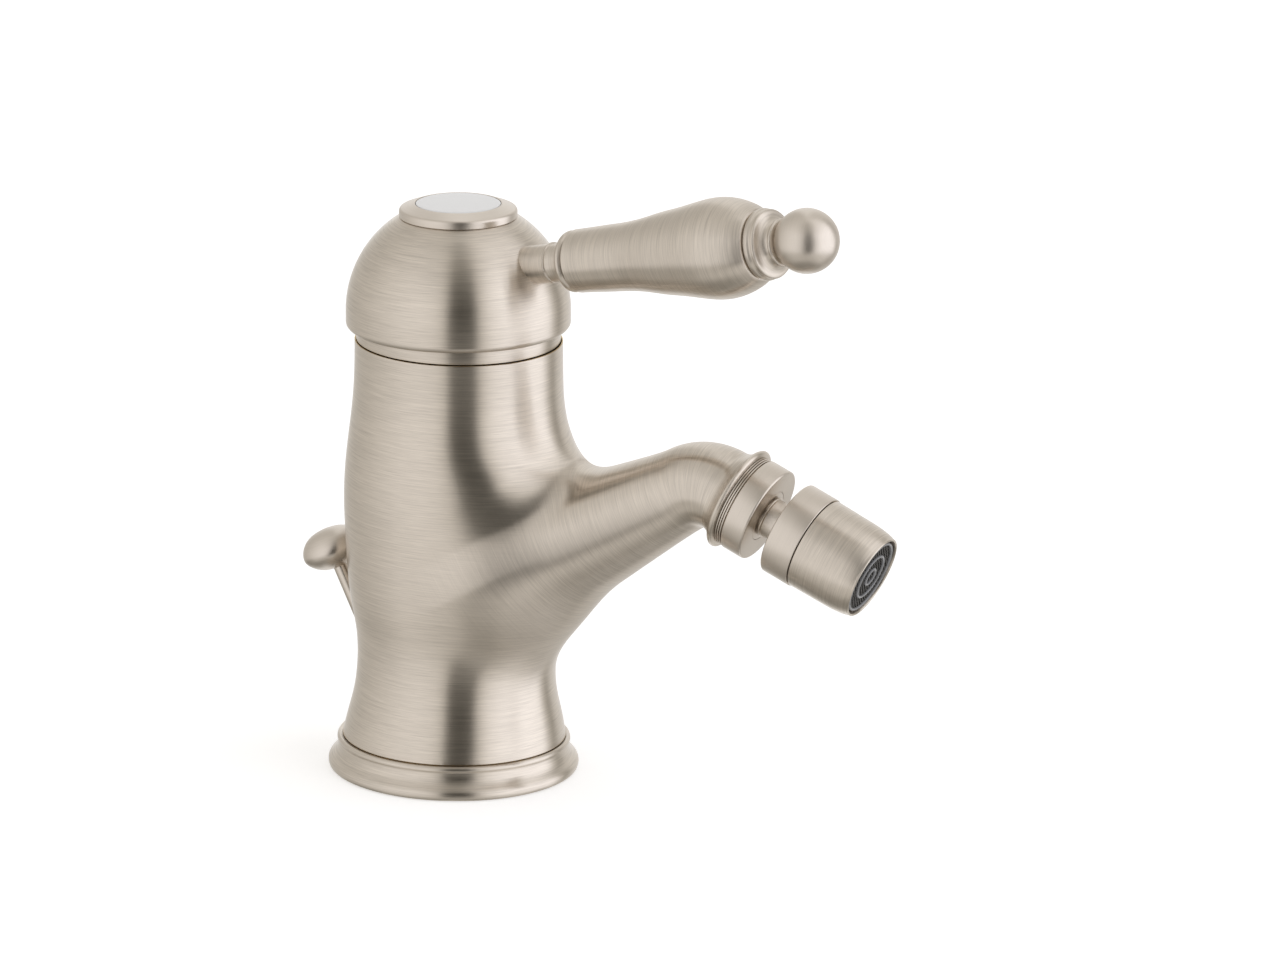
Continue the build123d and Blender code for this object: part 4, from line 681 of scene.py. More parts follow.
def lever_ball_outline():
    """Ball that starts on a flat against the collar."""
    radius, neck_r = 7.95, 4.7
    start = 3 - degrees(atan(sqrt(radius**2 - neck_r**2) / neck_r))
    ball = arc_points((0, BALL_CENTRE), radius, start, 90, 60)[:-1]
    return [(TIE_BORE_R, COLLAR_END), (neck_r, COLLAR_END)] + ball + [(0, BALL_CENTRE + radius)]


def flange_outline():
    """Flare and rounded rim of the spout's end, with its bore."""
    flare = [(TUBE_R, -ARCH_SETBACK), (10.75, -2.3), (11.4, -1.2), (12.2, -0.4), (12.85, -0.05)]
    rim = arc_points((12.58, 0.72), 0.72, -62, 62, 14)
    bore = [(12.55, RIM_WIDTH), (9.25, RIM_WIDTH), (9.25, -4.8), (5.6, -4.8), (5.6, -9)]
    return curve_points(flare, 18) + rim + bore


def swivel_outline():
    """Collar with three fine grooves, a flat face and the ball's socket."""
    groove_r, rib_r, neck_r = 11.35, 11.95, 11.3
    spigot_r, socket_foot, foot = 9.15, 4.2, -4.5
    grooves = []
    for index in range(3):
        low = RIM_WIDTH + GROOVE_WIDTH * index
        grooves += [(groove_r, low), (groove_r, low + 0.12)]
        grooves += [(rib_r, low + 0.2), (rib_r, low + GROOVE_WIDTH - 0.1)]
    neck = [(neck_r, 3.3), (neck_r, 3.5), (SWIVEL_R, 3.55, 0.15)]
    body = rounded(neck + [(SWIVEL_R, SWIVEL_FACE, 0.55), (6.72, SWIVEL_FACE, 0.03)])
    socket = arc_points((0, SOCKET_CENTRE), SOCKET_R, 37.9, 10, 12)
    start = [(8.6, foot), (spigot_r, foot), (spigot_r, RIM_WIDTH)]
    return start + grooves + body + socket + [(8.37, socket_foot), (8.6, socket_foot), (8.6, foot)]


def ball_stem_outline():
    """Ball with its crown level with the socket's face, a bead and the stem up to the collar."""
    radius, foot_r, foot = 7.5, 4.5, -2.0
    crown_top, groove_r = SWIVEL_FACE - 0.02, 4.3
    head, head_r, head_top = 17.1, 7.0, 18.6
    start = -degrees(atan(sqrt(radius**2 - foot_r**2) / foot_r))
    ball = arc_points((0, SOCKET_CENTRE), radius, start, 24.5, 32)
    crown = arc_points((0, SOCKET_CENTRE), SOCKET_R - 0.06, 26.5, 38.6, 12)
    groove = [(6.55, crown_top), (groove_r, crown_top), (groove_r, 9.66)]
    bead = arc_points((5.1, 9.98), 0.32, -90, 85, 10)
    stem = [(STEM_R, 10.4), (STEM_R, head), (head_r, head), (head_r, head_top)]
    bore = [(STEM_BORE_R, head_top), (STEM_BORE_R, foot)]
    return [(STEM_BORE_R, foot), (foot_r, foot)] + ball + crown + groove + bead + stem + bore


def aerator_collar_outline():
    """Wide plain ring with a bore for the stem."""
    inner_r, floor = 10.25, AERATOR_BACK + 2.0
    bore_r = STEM_R + 0.03
    back = [(bore_r, AERATOR_BACK), (AERATOR_R, AERATOR_BACK, 0.45)]
    front = [(AERATOR_R, AERATOR_FRONT, 0.18), (inner_r, AERATOR_FRONT)]
    return rounded(back + front + [(inner_r, floor), (bore_r, floor), (bore_r, AERATOR_BACK)])


def aerator_cap_outline():
    """Tapering cap with a thin rounded lip and a stepped bore."""
    thread_r, spigot_r, foot = 9.1, 10.2, 20.85
    back = AERATOR_FRONT + 0.22
    inside = [(10.13, 39.5), (10.13, 37.4), (CAP_BORE_R, 37.2), (CAP_BORE_R, 24.5)]
    shoulder = curve_points([(11.6, 33.6), (11.5, 35.6), (11.3, 37.3), (11.03, 38.7), (10.72, 39.7)], 20)
    lip = arc_points((10.43, 39.8), 0.3, 12, 165, 8)
    spigot = [(thread_r, foot), (spigot_r, foot), (spigot_r, back)]
    side = rounded(spigot + [(11.75, back, 0.15), (11.6, 33.6)])
    return side + shoulder[1:] + lip + inside + [(thread_r, 24.5), (thread_r, foot)]


def aerator_insert_outline():
    """Cup wall and three ribs, whose crests stand level at the mouth, and an open hub."""
    floor = INSERT_FACE - 1.6

    def rib(middle, half):
        crest = arc_points((middle, INSERT_FACE - half), half, 0, 180, 8)
        return [(middle + half, floor)] + crest + [(middle - half, floor)]

    foot, ledge, hub = 24.8, INSERT_FACE - 1.2, floor - 2.2
    wall = [(INSERT_R - 0.9, foot), (INSERT_R, foot), (INSERT_R, ledge), (9.49, ledge)]
    ribs = rib(9.15, 0.34) + rib(5.65, 0.32) + rib(2.15, 0.32)
    return wall + ribs + [(1.1, floor), (1.0, hub), (0, hub)]


def mesh_wires():
    """Points and faces of a woven wire disc, each wire a square bar that waves."""
    points = []
    faces = []
    count = int(MESH_R / MESH_PITCH)
    for way in range(2):
        for row in range(-count, count + 1):
            offset = row * MESH_PITCH
            half = sqrt(MESH_R**2 - offset**2)
            steps = 4 * int(half / MESH_PITCH) + 2
            first = len(points)
            for step in range(steps + 1):
                run = half * (2 * step / steps - 1)
                wave = WIRE_R * cos(pi * run / MESH_PITCH) * (-1) ** (row + way)
                for side, lift in ((-1, -1), (1, -1), (1, 1), (-1, 1)):
                    a = offset + side * WIRE_R
                    b = INSERT_FACE - MESH_DEPTH + wave + lift * WIRE_R
                    points.append((a, run, b) if way else (run, a, b))
            bar = []
            for step in range(steps):
                base = first + 4 * step
                for corner in range(4):
                    after = (corner + 1) % 4
                    bar.append([base + corner, base + after, base + 4 + after, base + 4 + corner])
            last = first + 4 * steps
            bar.append([first + 3, first + 2, first + 1, first])
            bar.append([last, last + 1, last + 2, last + 3])
            faces += [face[::-1] for face in bar] if way else bar
    return np.array(points), faces


def knob_outline():
    """Rounded cone, nearly flat underneath, on the rod's upper end."""
    under = [(1.95, 0.1), (3.5, 0.4), (5.5, 1.35), (7.05, 2.75), (7.8, 4.1)]
    top = [(7.8, 5.5), (7.1, 7.15), (5.7, 8.7), (3.3, 9.85), (0.0, 10.3)]
    return [(ROD_R + 0.03, 0.5)] + curve_points(under + top, 60)


def rod_outline():
    """Plain rod that ends inside the knob."""
    low = (ROD_FOOT_Z - ROD_Z) / cos(ROD_LEAN)
    top = 4.6
    return [(0, low), (ROD_R - 0.3, low), (ROD_R, low + 0.4), (ROD_R, top), (0, top)]


# Node helpers
def join(value, socket):
    """Lead a node's output into an input, or set the input to a plain value."""
    if isinstance(value, bpy.types.NodeSocket):
        socket.id_data.links.new(value, socket)
    else:
        socket.default_value = value


def add(tree, kind, *entries, **values):
    """A node with its settings and its inputs, named or in order from the first."""
    node = tree.nodes.new("ShaderNode" + kind)
    for key, value in values.items():
        if hasattr(node, key):
            setattr(node, key, value)
        else:
            join(value, node.inputs[key.replace("_", " ")])
    for socket, value in zip(node.inputs, entries):
        if value is not None:
            join(value, socket)
    return node


def math_node(tree, operation, *entries, clamp=False):
    """The output of a math node."""
    return add(tree, "Math", *entries, operation=operation, use_clamp=clamp).outputs[0]


def scaled(tree, value, factor, offset, clamp=False):
    """A value times a factor, plus an offset."""
    return math_node(tree, "MULTIPLY_ADD", value, factor, offset, clamp=clamp)


def build_group(name, inputs, outputs):
    """An empty shader group with its sockets, its entry and its exit."""
    group = bpy.data.node_groups.new(name, "ShaderNodeTree")
    face = group.interface
    face.new_socket("Place", in_out="INPUT", socket_type="NodeSocketVector")
    for label, value in inputs.items():
        face.new_socket(label, in_out="INPUT", socket_type="NodeSocketFloat").default_value = value
    for label in outputs:
        face.new_socket(label, in_out="OUTPUT", socket_type="NodeSocketFloat")
    return group, group.nodes.new("NodeGroupInput"), group.nodes.new("NodeGroupOutput")


def brush_marks_group():
    """Fine brush marks: streaks that are long one way and narrow the other."""
    inputs = {"Length": 0.06, "Fineness": 3.2, "Strength": 1.0}
    group, entry, leave = build_group("Brush marks", inputs, ("Height",))
    given = entry.outputs
    scale = add(group, "CombineXYZ", given["Length"], given["Length"], given["Fineness"])
    stretch = add(group, "VectorMath", given["Place"], scale.outputs[0], operation="MULTIPLY")
    layers = []
    for shift, factor in ((0.0, 1.0), (37.0, 2.3)):
        entries = (stretch.outputs[0], (factor, factor, factor), (shift, shift * 0.7, shift * 1.3))
        moved = add(group, "VectorMath", *entries, operation="MULTIPLY_ADD").outputs[0]
        look = {"Scale": 1.0, "Detail": 4.0, "Roughness": 0.65, "Distortion": 0.15}
        layers.append(add(group, "TexNoise", moved, **look).outputs["Fac"])
    centred = math_node(group, "SUBTRACT", math_node(group, "ADD", *layers), 1.0)
    join(math_node(group, "MULTIPLY", centred, given["Strength"]), leave.inputs["Height"])
    return group


def grain_group():
    """Fine grain over a broader unevenness, as on moulded, lapped or machined surfaces."""
    group, entry, leave = build_group("Fine grain", {"Scale": 600.0}, ("Shade", "Height"))
    where, scale = entry.outputs["Place"], entry.outputs["Scale"]
    coarse = math_node(group, "MULTIPLY", scale, 0.06)
    fine = add(group, "TexNoise", where, Scale=scale, Detail=4.0, Roughness=0.6).outputs["Fac"]
    broad = add(group, "TexNoise", where, Scale=coarse, Detail=2.0).outputs["Fac"]
    both = math_node(group, "ADD", fine, broad)
    join(math_node(group, "SUBTRACT", both, 1.0), leave.inputs["Shade"])
    join(fine, leave.inputs["Height"])
    return group


def placed_group(tree, build, name, place_socket, **values):
    """A shader group in a material, built the first time that one needs it."""
    group = bpy.data.node_groups.get(name) or build()
    return add(tree, "Group", place_socket, node_tree=group, **values).outputs


def attribute(tree, name, output="Vector"):
    """The values of a mesh attribute."""
    return add(tree, "Attribute", attribute_name=name).outputs[output]


def surface(tree, shader, colour, shade, rough, height, relief):
    """Colour, roughness and bump of a shader from its varying masks."""
    tint = add(tree, "VectorMath", tuple(colour), operation="SCALE", Scale=shade)
    bump = add(tree, "Bump", Strength=relief[0], Distance=relief[1], Height=height)
    for label, value in (("Base Color", tint.outputs[0]), ("Roughness", rough), ("Normal", bump.outputs[0])):
        join(value, shader.inputs[label])


def new_material(name, metallic):
    """A material with its node tree and its shader."""
    material = bpy.data.materials.new(name)
    material.use_nodes = True
    shader = material.node_tree.nodes["Principled BSDF"]
    shader.inputs["Metallic"].default_value = metallic
    return material, material.node_tree, shader


# Scale and contrast of the metal's cloudiness, then what marks and grain do to roughness and relief
CLOUD_SCALE = 0.045
CLOUD_CONTRAST = 0.06
MARK_ROUGHNESS = 0.12
MARK_BUMP = (0.2, 0.04 * MM)
GRAIN_ROUGHNESS = 1.5
GRAIN_BUMP = (0.15, 0.03 * MM)


def nickel(name, colour, contrast, recipe, spout=False):
    """Plated metal with brush marks round its turned form, and along the spout where asked."""
    known = bpy.data.materials.get(name)
    if known:
        return known
    roughness, stretch, marks, fineness, length = recipe
    material, tree, shader = new_material(name, 1.0)
    shader.inputs["Anisotropic"].default_value = stretch

    def streaks(where):
        shape = {"Length": length, "Fineness": fineness}
        return placed_group(tree, brush_marks_group, "Brush marks", where, **shape)["Height"]

    where = attribute(tree, "turned_place")
    signal = streaks(where)
    if spout:
        share, other = attribute(tree, "spout_share", "Fac"), streaks(attribute(tree, "spout_place"))
        signal = add(tree, "Mix", share, None, signal, other, data_type="FLOAT").outputs[0]
    cloud = add(tree, "TexNoise", where, Scale=CLOUD_SCALE, Detail=3.0, Roughness=0.5)
    cloudy = math_node(tree, "SUBTRACT", cloud.outputs["Fac"], 0.5)
    shade = scaled(tree, signal, marks * contrast, 1.0)
    shade = scaled(tree, cloudy, CLOUD_CONTRAST, shade)
    rough = scaled(tree, signal, MARK_ROUGHNESS * marks, roughness)
    surface(tree, shader, colour, shade, rough, signal, MARK_BUMP)
    ways = {"vector_type": "VECTOR", "convert_from": "OBJECT", "convert_to": "WORLD"}
    turn = add(tree, "VectorTransform", attribute(tree, "across_marks"), **ways)
    join(turn.outputs[0], shader.inputs["Tangent"])
    return material


# Roughness, stretch of the highlight, then contrast, fineness and length of the brush marks
BRUSHED = (0.3, 0.93, 0.55, 3.4, 0.07)
SATIN = (0.33, 0.35, 0.12, 4.5, 0.12)


def brushed_nickel(finish):
    """Nickel with fine lines round each turned form."""
    return nickel("brushed_turned", finish.nickel_colour, finish.grain_strength, BRUSHED)


def body_nickel(finish):
    """The same on the casting, whose lines turn to run round the spout."""
    return nickel("brushed_casting", finish.nickel_colour, finish.grain_strength, BRUSHED, spout=True)


def satin_nickel(finish):
    """Softer nickel of the small turned pieces."""
    return nickel("satin_turned", finish.satin_colour, finish.grain_strength, SATIN)


def speckled(name, colour, roughness, metallic=0.0, coat=0.0, grain=600.0, depth=0.08):
    """A moulded, lapped or machined surface with a fine uneven grain."""
    material, tree, shader = new_material(name, metallic)
    shader.inputs["Coat Weight"].default_value = coat
    where = add(tree, "TexCoord").outputs["Object"]
    grained = placed_group(tree, grain_group, "Fine grain", where, Scale=grain)
    shade = scaled(tree, grained["Shade"], depth, 1.0)
    rough = scaled(tree, grained["Shade"], depth * GRAIN_ROUGHNESS, roughness)
    surface(tree, shader, colour, shade, rough, grained["Height"], GRAIN_BUMP)
    return material


# Colour, roughness, metal, coat, grain and its depth, by the record's slot
PLAIN_FINISHES = {
    "black_rubber": ((0.025, 0.025, 0.025), 0.6, 0.0, 0.0, 900.0, 0.3),
    "grey_plastic": ((0.16, 0.16, 0.165), 0.45, 0.0, 0.0, 700.0, 0.15),
    "white_plastic": ((0.72, 0.72, 0.69), 0.4, 0.0, 0.1, 700.0, 0.06),
    "ceramic": ((0.82, 0.8, 0.76), 0.15, 0.0, 0.6, 1200.0, 0.03),
    "bare_brass": ((0.72, 0.53, 0.24), 0.28, 1.0, 0.0, 800.0, 0.12),
    "steel": ((0.55, 0.55, 0.55), 0.3, 1.0, 0.0, 900.0, 0.1),
}


def plain_material(slot):
    """The material of a carried-over CAD node."""
    name = "plain_" + slot
    return bpy.data.materials.get(name) or speckled(name, *PLAIN_FINISHES[slot])


# Settings
TINT = {"min": 0.0, "max": 1.0, "subtype": "COLOR"}


class MixerShape(bpy.types.PropertyGroup):
    """Fineness of the meshes."""

    net_step: FloatProperty(
        name="Skin spacing",
        description="Spacing of the body's skin in millimetres",
        default=0.8,
        min=0.4,
        max=3.0,
    )
    segments: IntProperty(
        name="Segments",
        description="Facets round a turned piece",
        default=192,
        min=24,
        max=720,
    )


class MixerFinish(bpy.types.PropertyGroup):
    """Colours and brushing."""

    nickel_colour: FloatVectorProperty(
        name="Brushed nickel",
        description="Colour of the large brushed pieces",
        default=(0.66, 0.595, 0.515),
        **TINT,
    )
    satin_colour: FloatVectorProperty(
        name="Satin nickel",
        description="Colour of the small satin pieces",
        default=(0.68, 0.615, 0.54),
        **TINT,
    )
    disc_colour: FloatVectorProperty(
        name="Disc",
        description="Colour of the plain disc on the handle",
        default=(0.75, 0.745, 0.74),
        **TINT,
    )
    grain_strength: FloatProperty(
        name="Brushing",
        description="Contrast of the brush marks",
        default=1.0,
        min=0.0,
        max=4.0,
        subtype="FACTOR",
    )
    grain_blend: FloatProperty(
        name="Grain blend",
        description="Width over which the brushing turns from the body to the spout, in millimetres",
        default=14.0,
        min=1.0,
        max=40.0,
    )


class MixerStudio(bpy.types.PropertyGroup):
    """Light and floor."""

    tent_strength: FloatProperty(
        name="Tent light",
        description="Brightness of the light tent round the object",
        default=1.0,
        min=0.0,
        max=5.0,
    )
    floor_glow: FloatProperty(
        name="Floor glow",
        description="Light that the floor adds so that its shadow stays soft",
        default=0.42,
        min=0.0,
        max=1.0,
    )


def white_disc(finish):
    """Glossy white of the plain disc."""
    return speckled("white_disc", finish.disc_colour, 0.22, coat=0.3, grain=300.0, depth=0.01)


def ribs_plastic(finish):
    """Grey plastic of the aerator's ribs."""
    return speckled("ribs_plastic", (0.2, 0.2, 0.205), 0.32, coat=0.2, grain=900.0, depth=0.12)


def wire_steel(finish):
    """Dull steel of the aerator's mesh."""
    return speckled("wire_steel", (0.16, 0.155, 0.15), 0.34, metallic=1.0, grain=1500.0, depth=0.25)


# Turned pieces by group: the CAD node that each stands for, its outline, place, body and finish
TURNED = {
    "foot": (("base_ring", base_ring_outline, UPRIGHT, "fixed", brushed_nickel),),
    "trim": (("trim_ring", trim_ring_outline, UPRIGHT, "fixed", brushed_nickel),),
    "handle": (
        ("dome", dome_outline, HANDLE_PLACE, "handle", brushed_nickel),
        ("cap_ring", cap_ring_outline, HANDLE_PLACE, "handle", satin_nickel),
        ("index_disc", index_disc_outline, HANDLE_PLACE, "handle", white_disc),
    ),
    "lever": (
        ("lever_neck", lever_neck_outline, LEVER_PLACE, "handle", brushed_nickel),
        ("lever_grip", lever_grip_outline, LEVER_PLACE, "handle", brushed_nickel),
        ("lever_collar", lever_collar_outline, LEVER_PLACE, "handle", brushed_nickel),
        ("lever_ball", lever_ball_outline, LEVER_PLACE, "handle", satin_nickel),
    ),
    "swivel": (
        ("swivel_collar", swivel_outline, END_PLACE, "fixed", satin_nickel),
        ("ball_stem", ball_stem_outline, END_PLACE, "aerator", satin_nickel),
    ),
    "aerator": (
        ("aerator_collar", aerator_collar_outline, END_PLACE, "aerator", satin_nickel),
        ("aerator_cap", aerator_cap_outline, END_PLACE, "aerator", brushed_nickel),
        ("aerator_insert", aerator_insert_outline, END_PLACE, "aerator", ribs_plastic),
    ),
    "rod": (
        ("lift_knob", knob_outline, ROD_PLACE, "rod", satin_nickel),
        ("lift_rod", rod_outline, ROD_PLACE, "rod", satin_nickel),
    ),
}
COARSER = {"aerator_insert": 96, "lift_rod": 64}


def add_turned(scene, group):
    """A group's turned pieces, each in place of its CAD node."""
    for node, outline, where, body, material in TURNED[group]:
        segments = COARSER.get(node, scene.mixer_shape.segments)
        piece = turned(node + "_turned", outline(), where, segments)
        finish_piece(piece, material(scene.mixer_finish), body, node)


class MIXER_OT_foot(bpy.types.Operator):
    """Base ring"""

    bl_idname = "mixer.foot"
    bl_label = "Foot"

    def execute(self, context):
        add_turned(context.scene, "foot")
        return {"FINISHED"}


def body_inside(points):
    """Which of the CAD body's faces lie inside the casting's skin."""
    deep = casting_field(points) < -SKIN_COVER
    below = points[:, 2] < BASE_HEIGHT - FOOT_COVER
    before_flange = (points - np.array((FLANGE_X, 0, FLANGE_Z))) @ END_DIRECTION < -ARCH_SETBACK
    return (deep & before_flange) | below


class MIXER_OT_casting(bpy.types.Operator):
    """Body and spout with the flange at its end"""

    bl_idname = "mixer.casting"
    bl_label = "Body and spout"

    def execute(self, context):
        shape, finish = context.scene.mixer_shape, context.scene.mixer_finish
        skin = build_casting(shape.net_step, finish.grain_blend)
        finish_piece(skin, body_nickel(finish), "fixed", "mixer_body")
        flange = turned("spout_flange", flange_outline(), END_PLACE, shape.segments)
        finish_piece(flange, brushed_nickel(finish), "fixed")
        inside = inner_faces("mixer_body", "body_inside", body_inside)
        finish_piece(inside, plain_material("bare_brass"), "fixed")
        return {"FINISHED"}


class MIXER_OT_trim(bpy.types.Operator):
    """Ring between the body and the dome"""

    bl_idname = "mixer.trim"
    bl_label = "Trim ring"

    def execute(self, context):
        add_turned(context.scene, "trim")
        return {"FINISHED"}


class MIXER_OT_handle(bpy.types.Operator):
    """Dome, cap ring and index disc"""

    bl_idname = "mixer.handle"
    bl_label = "Dome and cap"

    def execute(self, context):
        add_turned(context.scene, "handle")
        return {"FINISHED"}


class MIXER_OT_lever(bpy.types.Operator):
    """Neck, grip, collar and ball of the lever"""

    bl_idname = "mixer.lever"
    bl_label = "Lever"

    def execute(self, context):
        add_turned(context.scene, "lever")
        return {"FINISHED"}


class MIXER_OT_swivel(bpy.types.Operator):
    """Collar and ball stem of the joint at the spout's end"""

    bl_idname = "mixer.swivel"
    bl_label = "Ball joint"

    def execute(self, context):
        add_turned(context.scene, "swivel")
        return {"FINISHED"}


class MIXER_OT_aerator(bpy.types.Operator):
    """Collar, cap, insert and mesh of the aerator"""

    bl_idname = "mixer.aerator"
    bl_label = "Aerator"

    def execute(self, context):
        add_turned(context.scene, "aerator")
        points, faces = mesh_wires()
        placed = points @ np.array(END_PLACE.to_3x3()).T + np.array(END_PLACE.translation)
        wires = new_object("aerator_mesh_wires", placed, faces, points, upwards(points))
        finish_piece(wires, wire_steel(context.scene.mixer_finish), "aerator", "aerator_mesh")
        return {"FINISHED"}


class MIXER_OT_rod(bpy.types.Operator):
    """Lift rod and its knob"""

    bl_idname = "mixer.rod"
    bl_label = "Lift rod"

    def execute(self, context):
        add_turned(context.scene, "rod")
        return {"FINISHED"}


class MIXER_OT_inner(bpy.types.Operator):
    """Finishes of the CAD nodes that are kept as they are"""

    bl_idname = "mixer.inner"
    bl_label = "Inner pieces"

    def execute(self, context):
        slots = {entry["node"]: entry["material_slot"] for entry in frame["record"]["subparts"]}
        for name, obj in frame["nodes"].items():
            if slots[name] in PLAIN_FINISHES:
                obj.data.materials.clear()
                obj.data.materials.append(plain_material(slots[name]))
        return {"FINISHED"}


# Studio
CAMERA_AZIMUTH = radians(26.5)
CAMERA_ELEVATION = radians(16.2)
CAMERA_ROLL = radians(0.978)
CAMERA_TARGET = Vector((0.03169, 0.03815, 0.06884))
CAMERA_DISTANCE = 2.375
CAMERA_LENS = 267.19
FLOOR_REACH = 6.0
PAPER_SHADE = (0.004, 0.9)

# Brightness of the light tent by direction, in degrees to the camera's right, the camera at 0
TENT_WALL = (
    (-180, 0.9), (-160, 0.7), (-143, 0.62), (-127, 0.64), (-110, 0.72), (-85, 0.88), (-60, 1.02),
    (-40, 1.06), (-24, 1.0), (-14, 0.8), (-7, 0.1), (2, 0.04), (17, 0.06), (25, 0.8), (36, 1.22),
    (52, 1.42), (85, 1.5), (106, 1.46), (117, 0.7), (126, 0.36), (140, 0.76), (160, 0.84),
    (180, 0.9),
)
TENT_ROOF = (
    (-180, 0.62), (-127, 0.66), (-67, 0.76), (-37, 0.66), (-7, 0.42), (10, 0.42), (37, 0.66),
    (67, 0.98), (110, 0.92), (142, 0.7), (180, 0.62),
)
TENT_GROUND = (
    (-180, 0.7), (-135, 0.3), (-97, 0.42), (-67, 0.68), (-37, 0.68), (0, 0.64), (37, 0.7),
    (60, 0.84), (85, 0.8), (115, 0.44), (142, 0.66), (180, 0.7),
)
TENT_NADIR = 0.3
TENT_FULL = 1.5

# Factor and offset of each fade: three by a direction's height, the last by its angle from the camera
ROOF_FADE = (2.0, -0.9)
GROUND_FADE = (-6.0, -2.4)
NADIR_FADE = (-8.0, -6.5)
BACKDROP_FADE = (40.0, -18.0)


def add_camera():
    """Camera where the picture was taken from."""
    a, e, r = CAMERA_AZIMUTH, CAMERA_ELEVATION, CAMERA_ROLL
    back = Vector((sin(a) * cos(e), -cos(a) * cos(e), sin(e)))
    level = Vector((cos(a), sin(a), 0))
    right = level * cos(r) + back.cross(level) * sin(r)
    up = back.cross(right)
    data = bpy.data.cameras.new("camera")
    data.lens = CAMERA_LENS
    data.sensor_width = 36
    data.clip_start = 0.1
    data.clip_end = 20
    camera = linked("camera", data)
    matrix = Matrix((right, up, back)).transposed().to_4x4()
    matrix.translation = CAMERA_TARGET + back * CAMERA_DISTANCE
    camera.matrix_world = matrix
    bpy.context.scene.camera = camera


def tent_colour(level):
    """A tent brightness as a colour, warm where it is dark and cool where it is bright."""
    bright = min(level / TENT_FULL, 1)
    value = level / TENT_FULL
    return (value * (1.05 - 0.06 * bright), value, value * (0.88 + 0.18 * bright), 1)


def azimuth_ramp(tree, share, stops):
    """Brightness by azimuth, through stops given in degrees to the camera's right."""
    ramp = add(tree, "ValToRGB", share)
    ramp.color_ramp.interpolation = "LINEAR"
    elements = ramp.color_ramp.elements
    while len(elements) > 1:
        elements.remove(elements[-1])
    for index, (degree, level) in enumerate(stops):
        spot = (degree + 180) / 360
        stop = elements[0] if index == 0 else elements.new(spot)
        stop.position = spot
        stop.color = tent_colour(level)
    return ramp.outputs[0]


def mixed(tree, share, first, second):
    """A colour mix by a share."""
    mix = add(tree, "Mix", share, data_type="RGBA")
    join(first, mix.inputs[6])
    join(second, mix.inputs[7])
    return mix.outputs[2]


def add_tent(strength):
    """World that looks like a light tent with a dark gap where the camera stands."""
    world = bpy.data.worlds.new("tent")
    bpy.context.scene.world = world
    world.use_nodes = True
    tree = world.node_tree
    tree.nodes.clear()
    where = add(tree, "TexCoord").outputs["Generated"]
    east, north, height = add(tree, "SeparateXYZ", where).outputs
    angle = math_node(tree, "SUBTRACT", math_node(tree, "ARCTAN2", north, east), CAMERA_AZIMUTH - pi / 2)
    share = math_node(tree, "FRACT", scaled(tree, angle, 1 / (2 * pi), 1.5))
    colour = azimuth_ramp(tree, share, TENT_WALL)
    for fade, other in (
        (ROOF_FADE, azimuth_ramp(tree, share, TENT_ROOF)),
        (GROUND_FADE, azimuth_ramp(tree, share, TENT_GROUND)),
        (NADIR_FADE, tent_colour(TENT_NADIR)),
    ):
        part = scaled(tree, height, *fade, clamp=True)
        colour = mixed(tree, part, colour, other)
    tent = add(tree, "Background", colour, Strength=TENT_FULL * strength)
    white = add(tree, "Background", (1, 1, 1, 1), Strength=1.0)
    path = add(tree, "LightPath").outputs
    seen = math_node(tree, "MAXIMUM", path["Is Glossy Ray"], path["Is Transmission Ray"])
    from_camera = math_node(tree, "ABSOLUTE", math_node(tree, "SUBTRACT", share, 0.5))
    backdrop = scaled(tree, from_camera, *BACKDROP_FADE, clamp=True)
    seen = math_node(tree, "MULTIPLY", seen, backdrop)
    seen = math_node(tree, "MAXIMUM", path["Is Camera Ray"], seen)
    choose = add(tree, "MixShader", seen, tent.outputs[0], white.outputs[0])
    add(tree, "OutputWorld", choose.outputs[0])


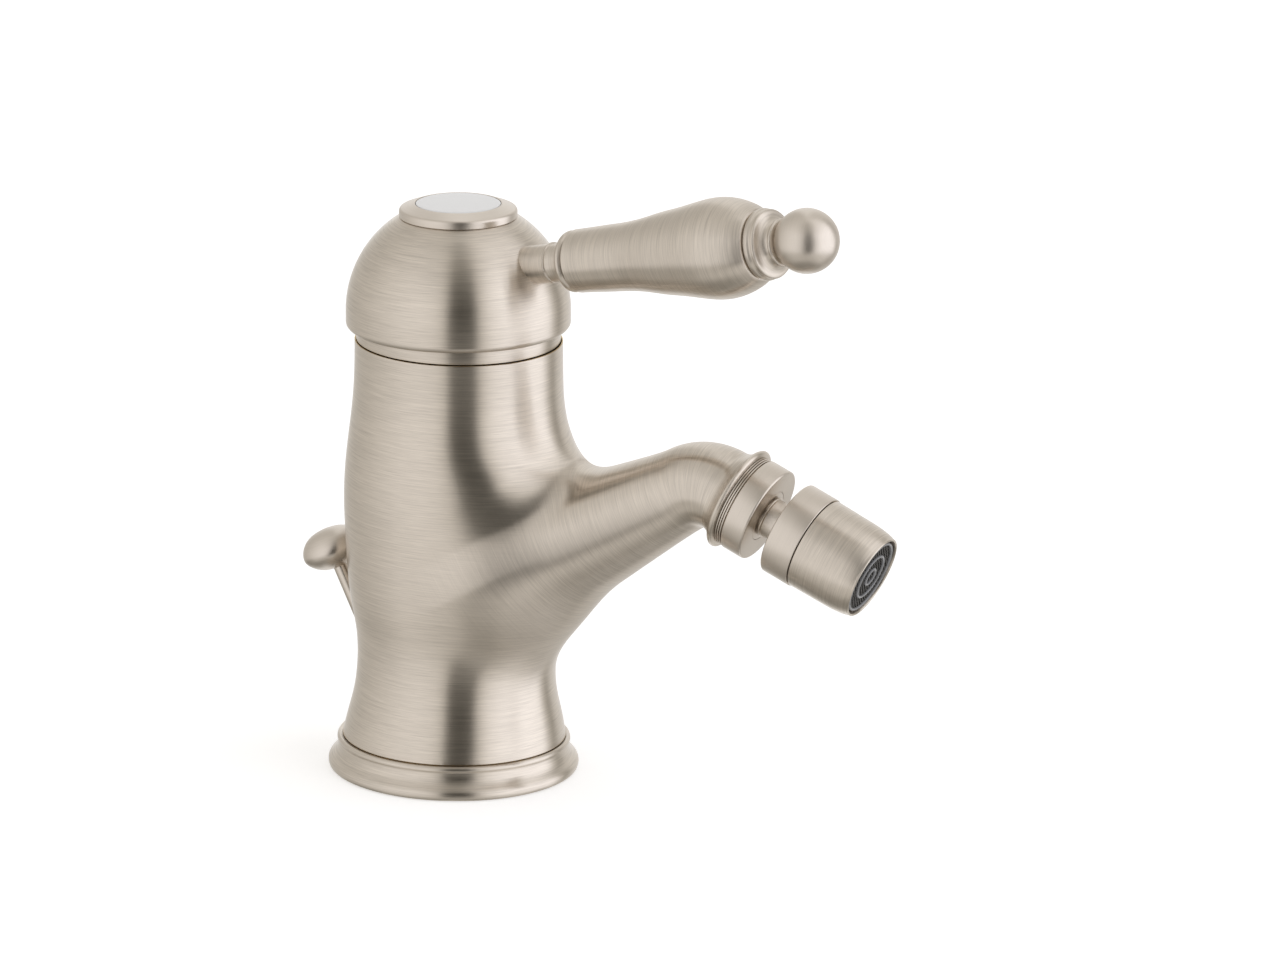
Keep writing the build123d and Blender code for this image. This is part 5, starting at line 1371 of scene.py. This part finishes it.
def add_floor(glow_strength):
    """Plain pale floor under the mixer."""
    mesh = bpy.data.meshes.new("floor")
    corners = [(x * FLOOR_REACH, y * FLOOR_REACH, 0) for x, y in ((-1, -1), (1, -1), (1, 1), (-1, 1))]
    mesh.from_pydata(corners, [], [(0, 1, 2, 3)])
    floor = linked("floor", mesh)
    material = bpy.data.materials.new("floor_paper")
    material.use_nodes = True
    tree = material.node_tree
    tree.nodes.clear()
    noise = add(tree, "TexNoise", Scale=40.0, Detail=2.0)
    shade = scaled(tree, noise.outputs["Fac"], *PAPER_SHADE)
    paper = add(tree, "BsdfDiffuse", shade)
    glow = add(tree, "Emission", Strength=glow_strength)
    both = add(tree, "AddShader", paper.outputs[0], glow.outputs[0])
    add(tree, "OutputMaterial", both.outputs[0])
    mesh.materials.append(material)
    floor.visible_glossy = False


class MIXER_OT_stage(bpy.types.Operator):
    """Camera, light tent and floor"""

    bl_idname = "mixer.stage"
    bl_label = "Studio"

    def execute(self, context):
        studio = context.scene.mixer_studio
        add_camera()
        add_tent(studio.tent_strength)
        add_floor(studio.floor_glow)
        context.scene.view_settings.view_transform = "Standard"
        return {"FINISHED"}


class MIXER_PT_panel(bpy.types.Panel):
    """Buttons that build the mixer's looks"""

    bl_label = "Mixer"
    bl_idname = "MIXER_PT_panel"
    bl_space_type = "VIEW_3D"
    bl_region_type = "UI"
    bl_category = "Mixer"

    def draw(self, context):
        for group, kind in GROUPS.items():
            settings = getattr(context.scene, group)
            for name in kind.__annotations__:
                self.layout.prop(settings, name)
        for operator in OPERATORS:
            self.layout.operator(operator.bl_idname)


OPERATORS = (
    MIXER_OT_foot, MIXER_OT_casting, MIXER_OT_trim, MIXER_OT_handle, MIXER_OT_lever,
    MIXER_OT_swivel, MIXER_OT_aerator, MIXER_OT_rod, MIXER_OT_inner, MIXER_OT_stage,
)
GROUPS = {"mixer_shape": MixerShape, "mixer_finish": MixerFinish, "mixer_studio": MixerStudio}
CLASSES = tuple(GROUPS.values()) + OPERATORS + (MIXER_PT_panel,)


def register():
    for item in CLASSES:
        bpy.utils.register_class(item)
    for group, kind in GROUPS.items():
        setattr(bpy.types.Scene, group, PointerProperty(type=kind))


def unregister():
    for group in GROUPS:
        delattr(bpy.types.Scene, group)
    for item in reversed(CLASSES):
        bpy.utils.unregister_class(item)


def main():
    """Build everything."""
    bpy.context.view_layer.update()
    register()
    for operator in OPERATORS:
        family, name = operator.bl_idname.split(".")
        getattr(getattr(bpy.ops, family), name)()


if __name__ == "__main__":
    main()
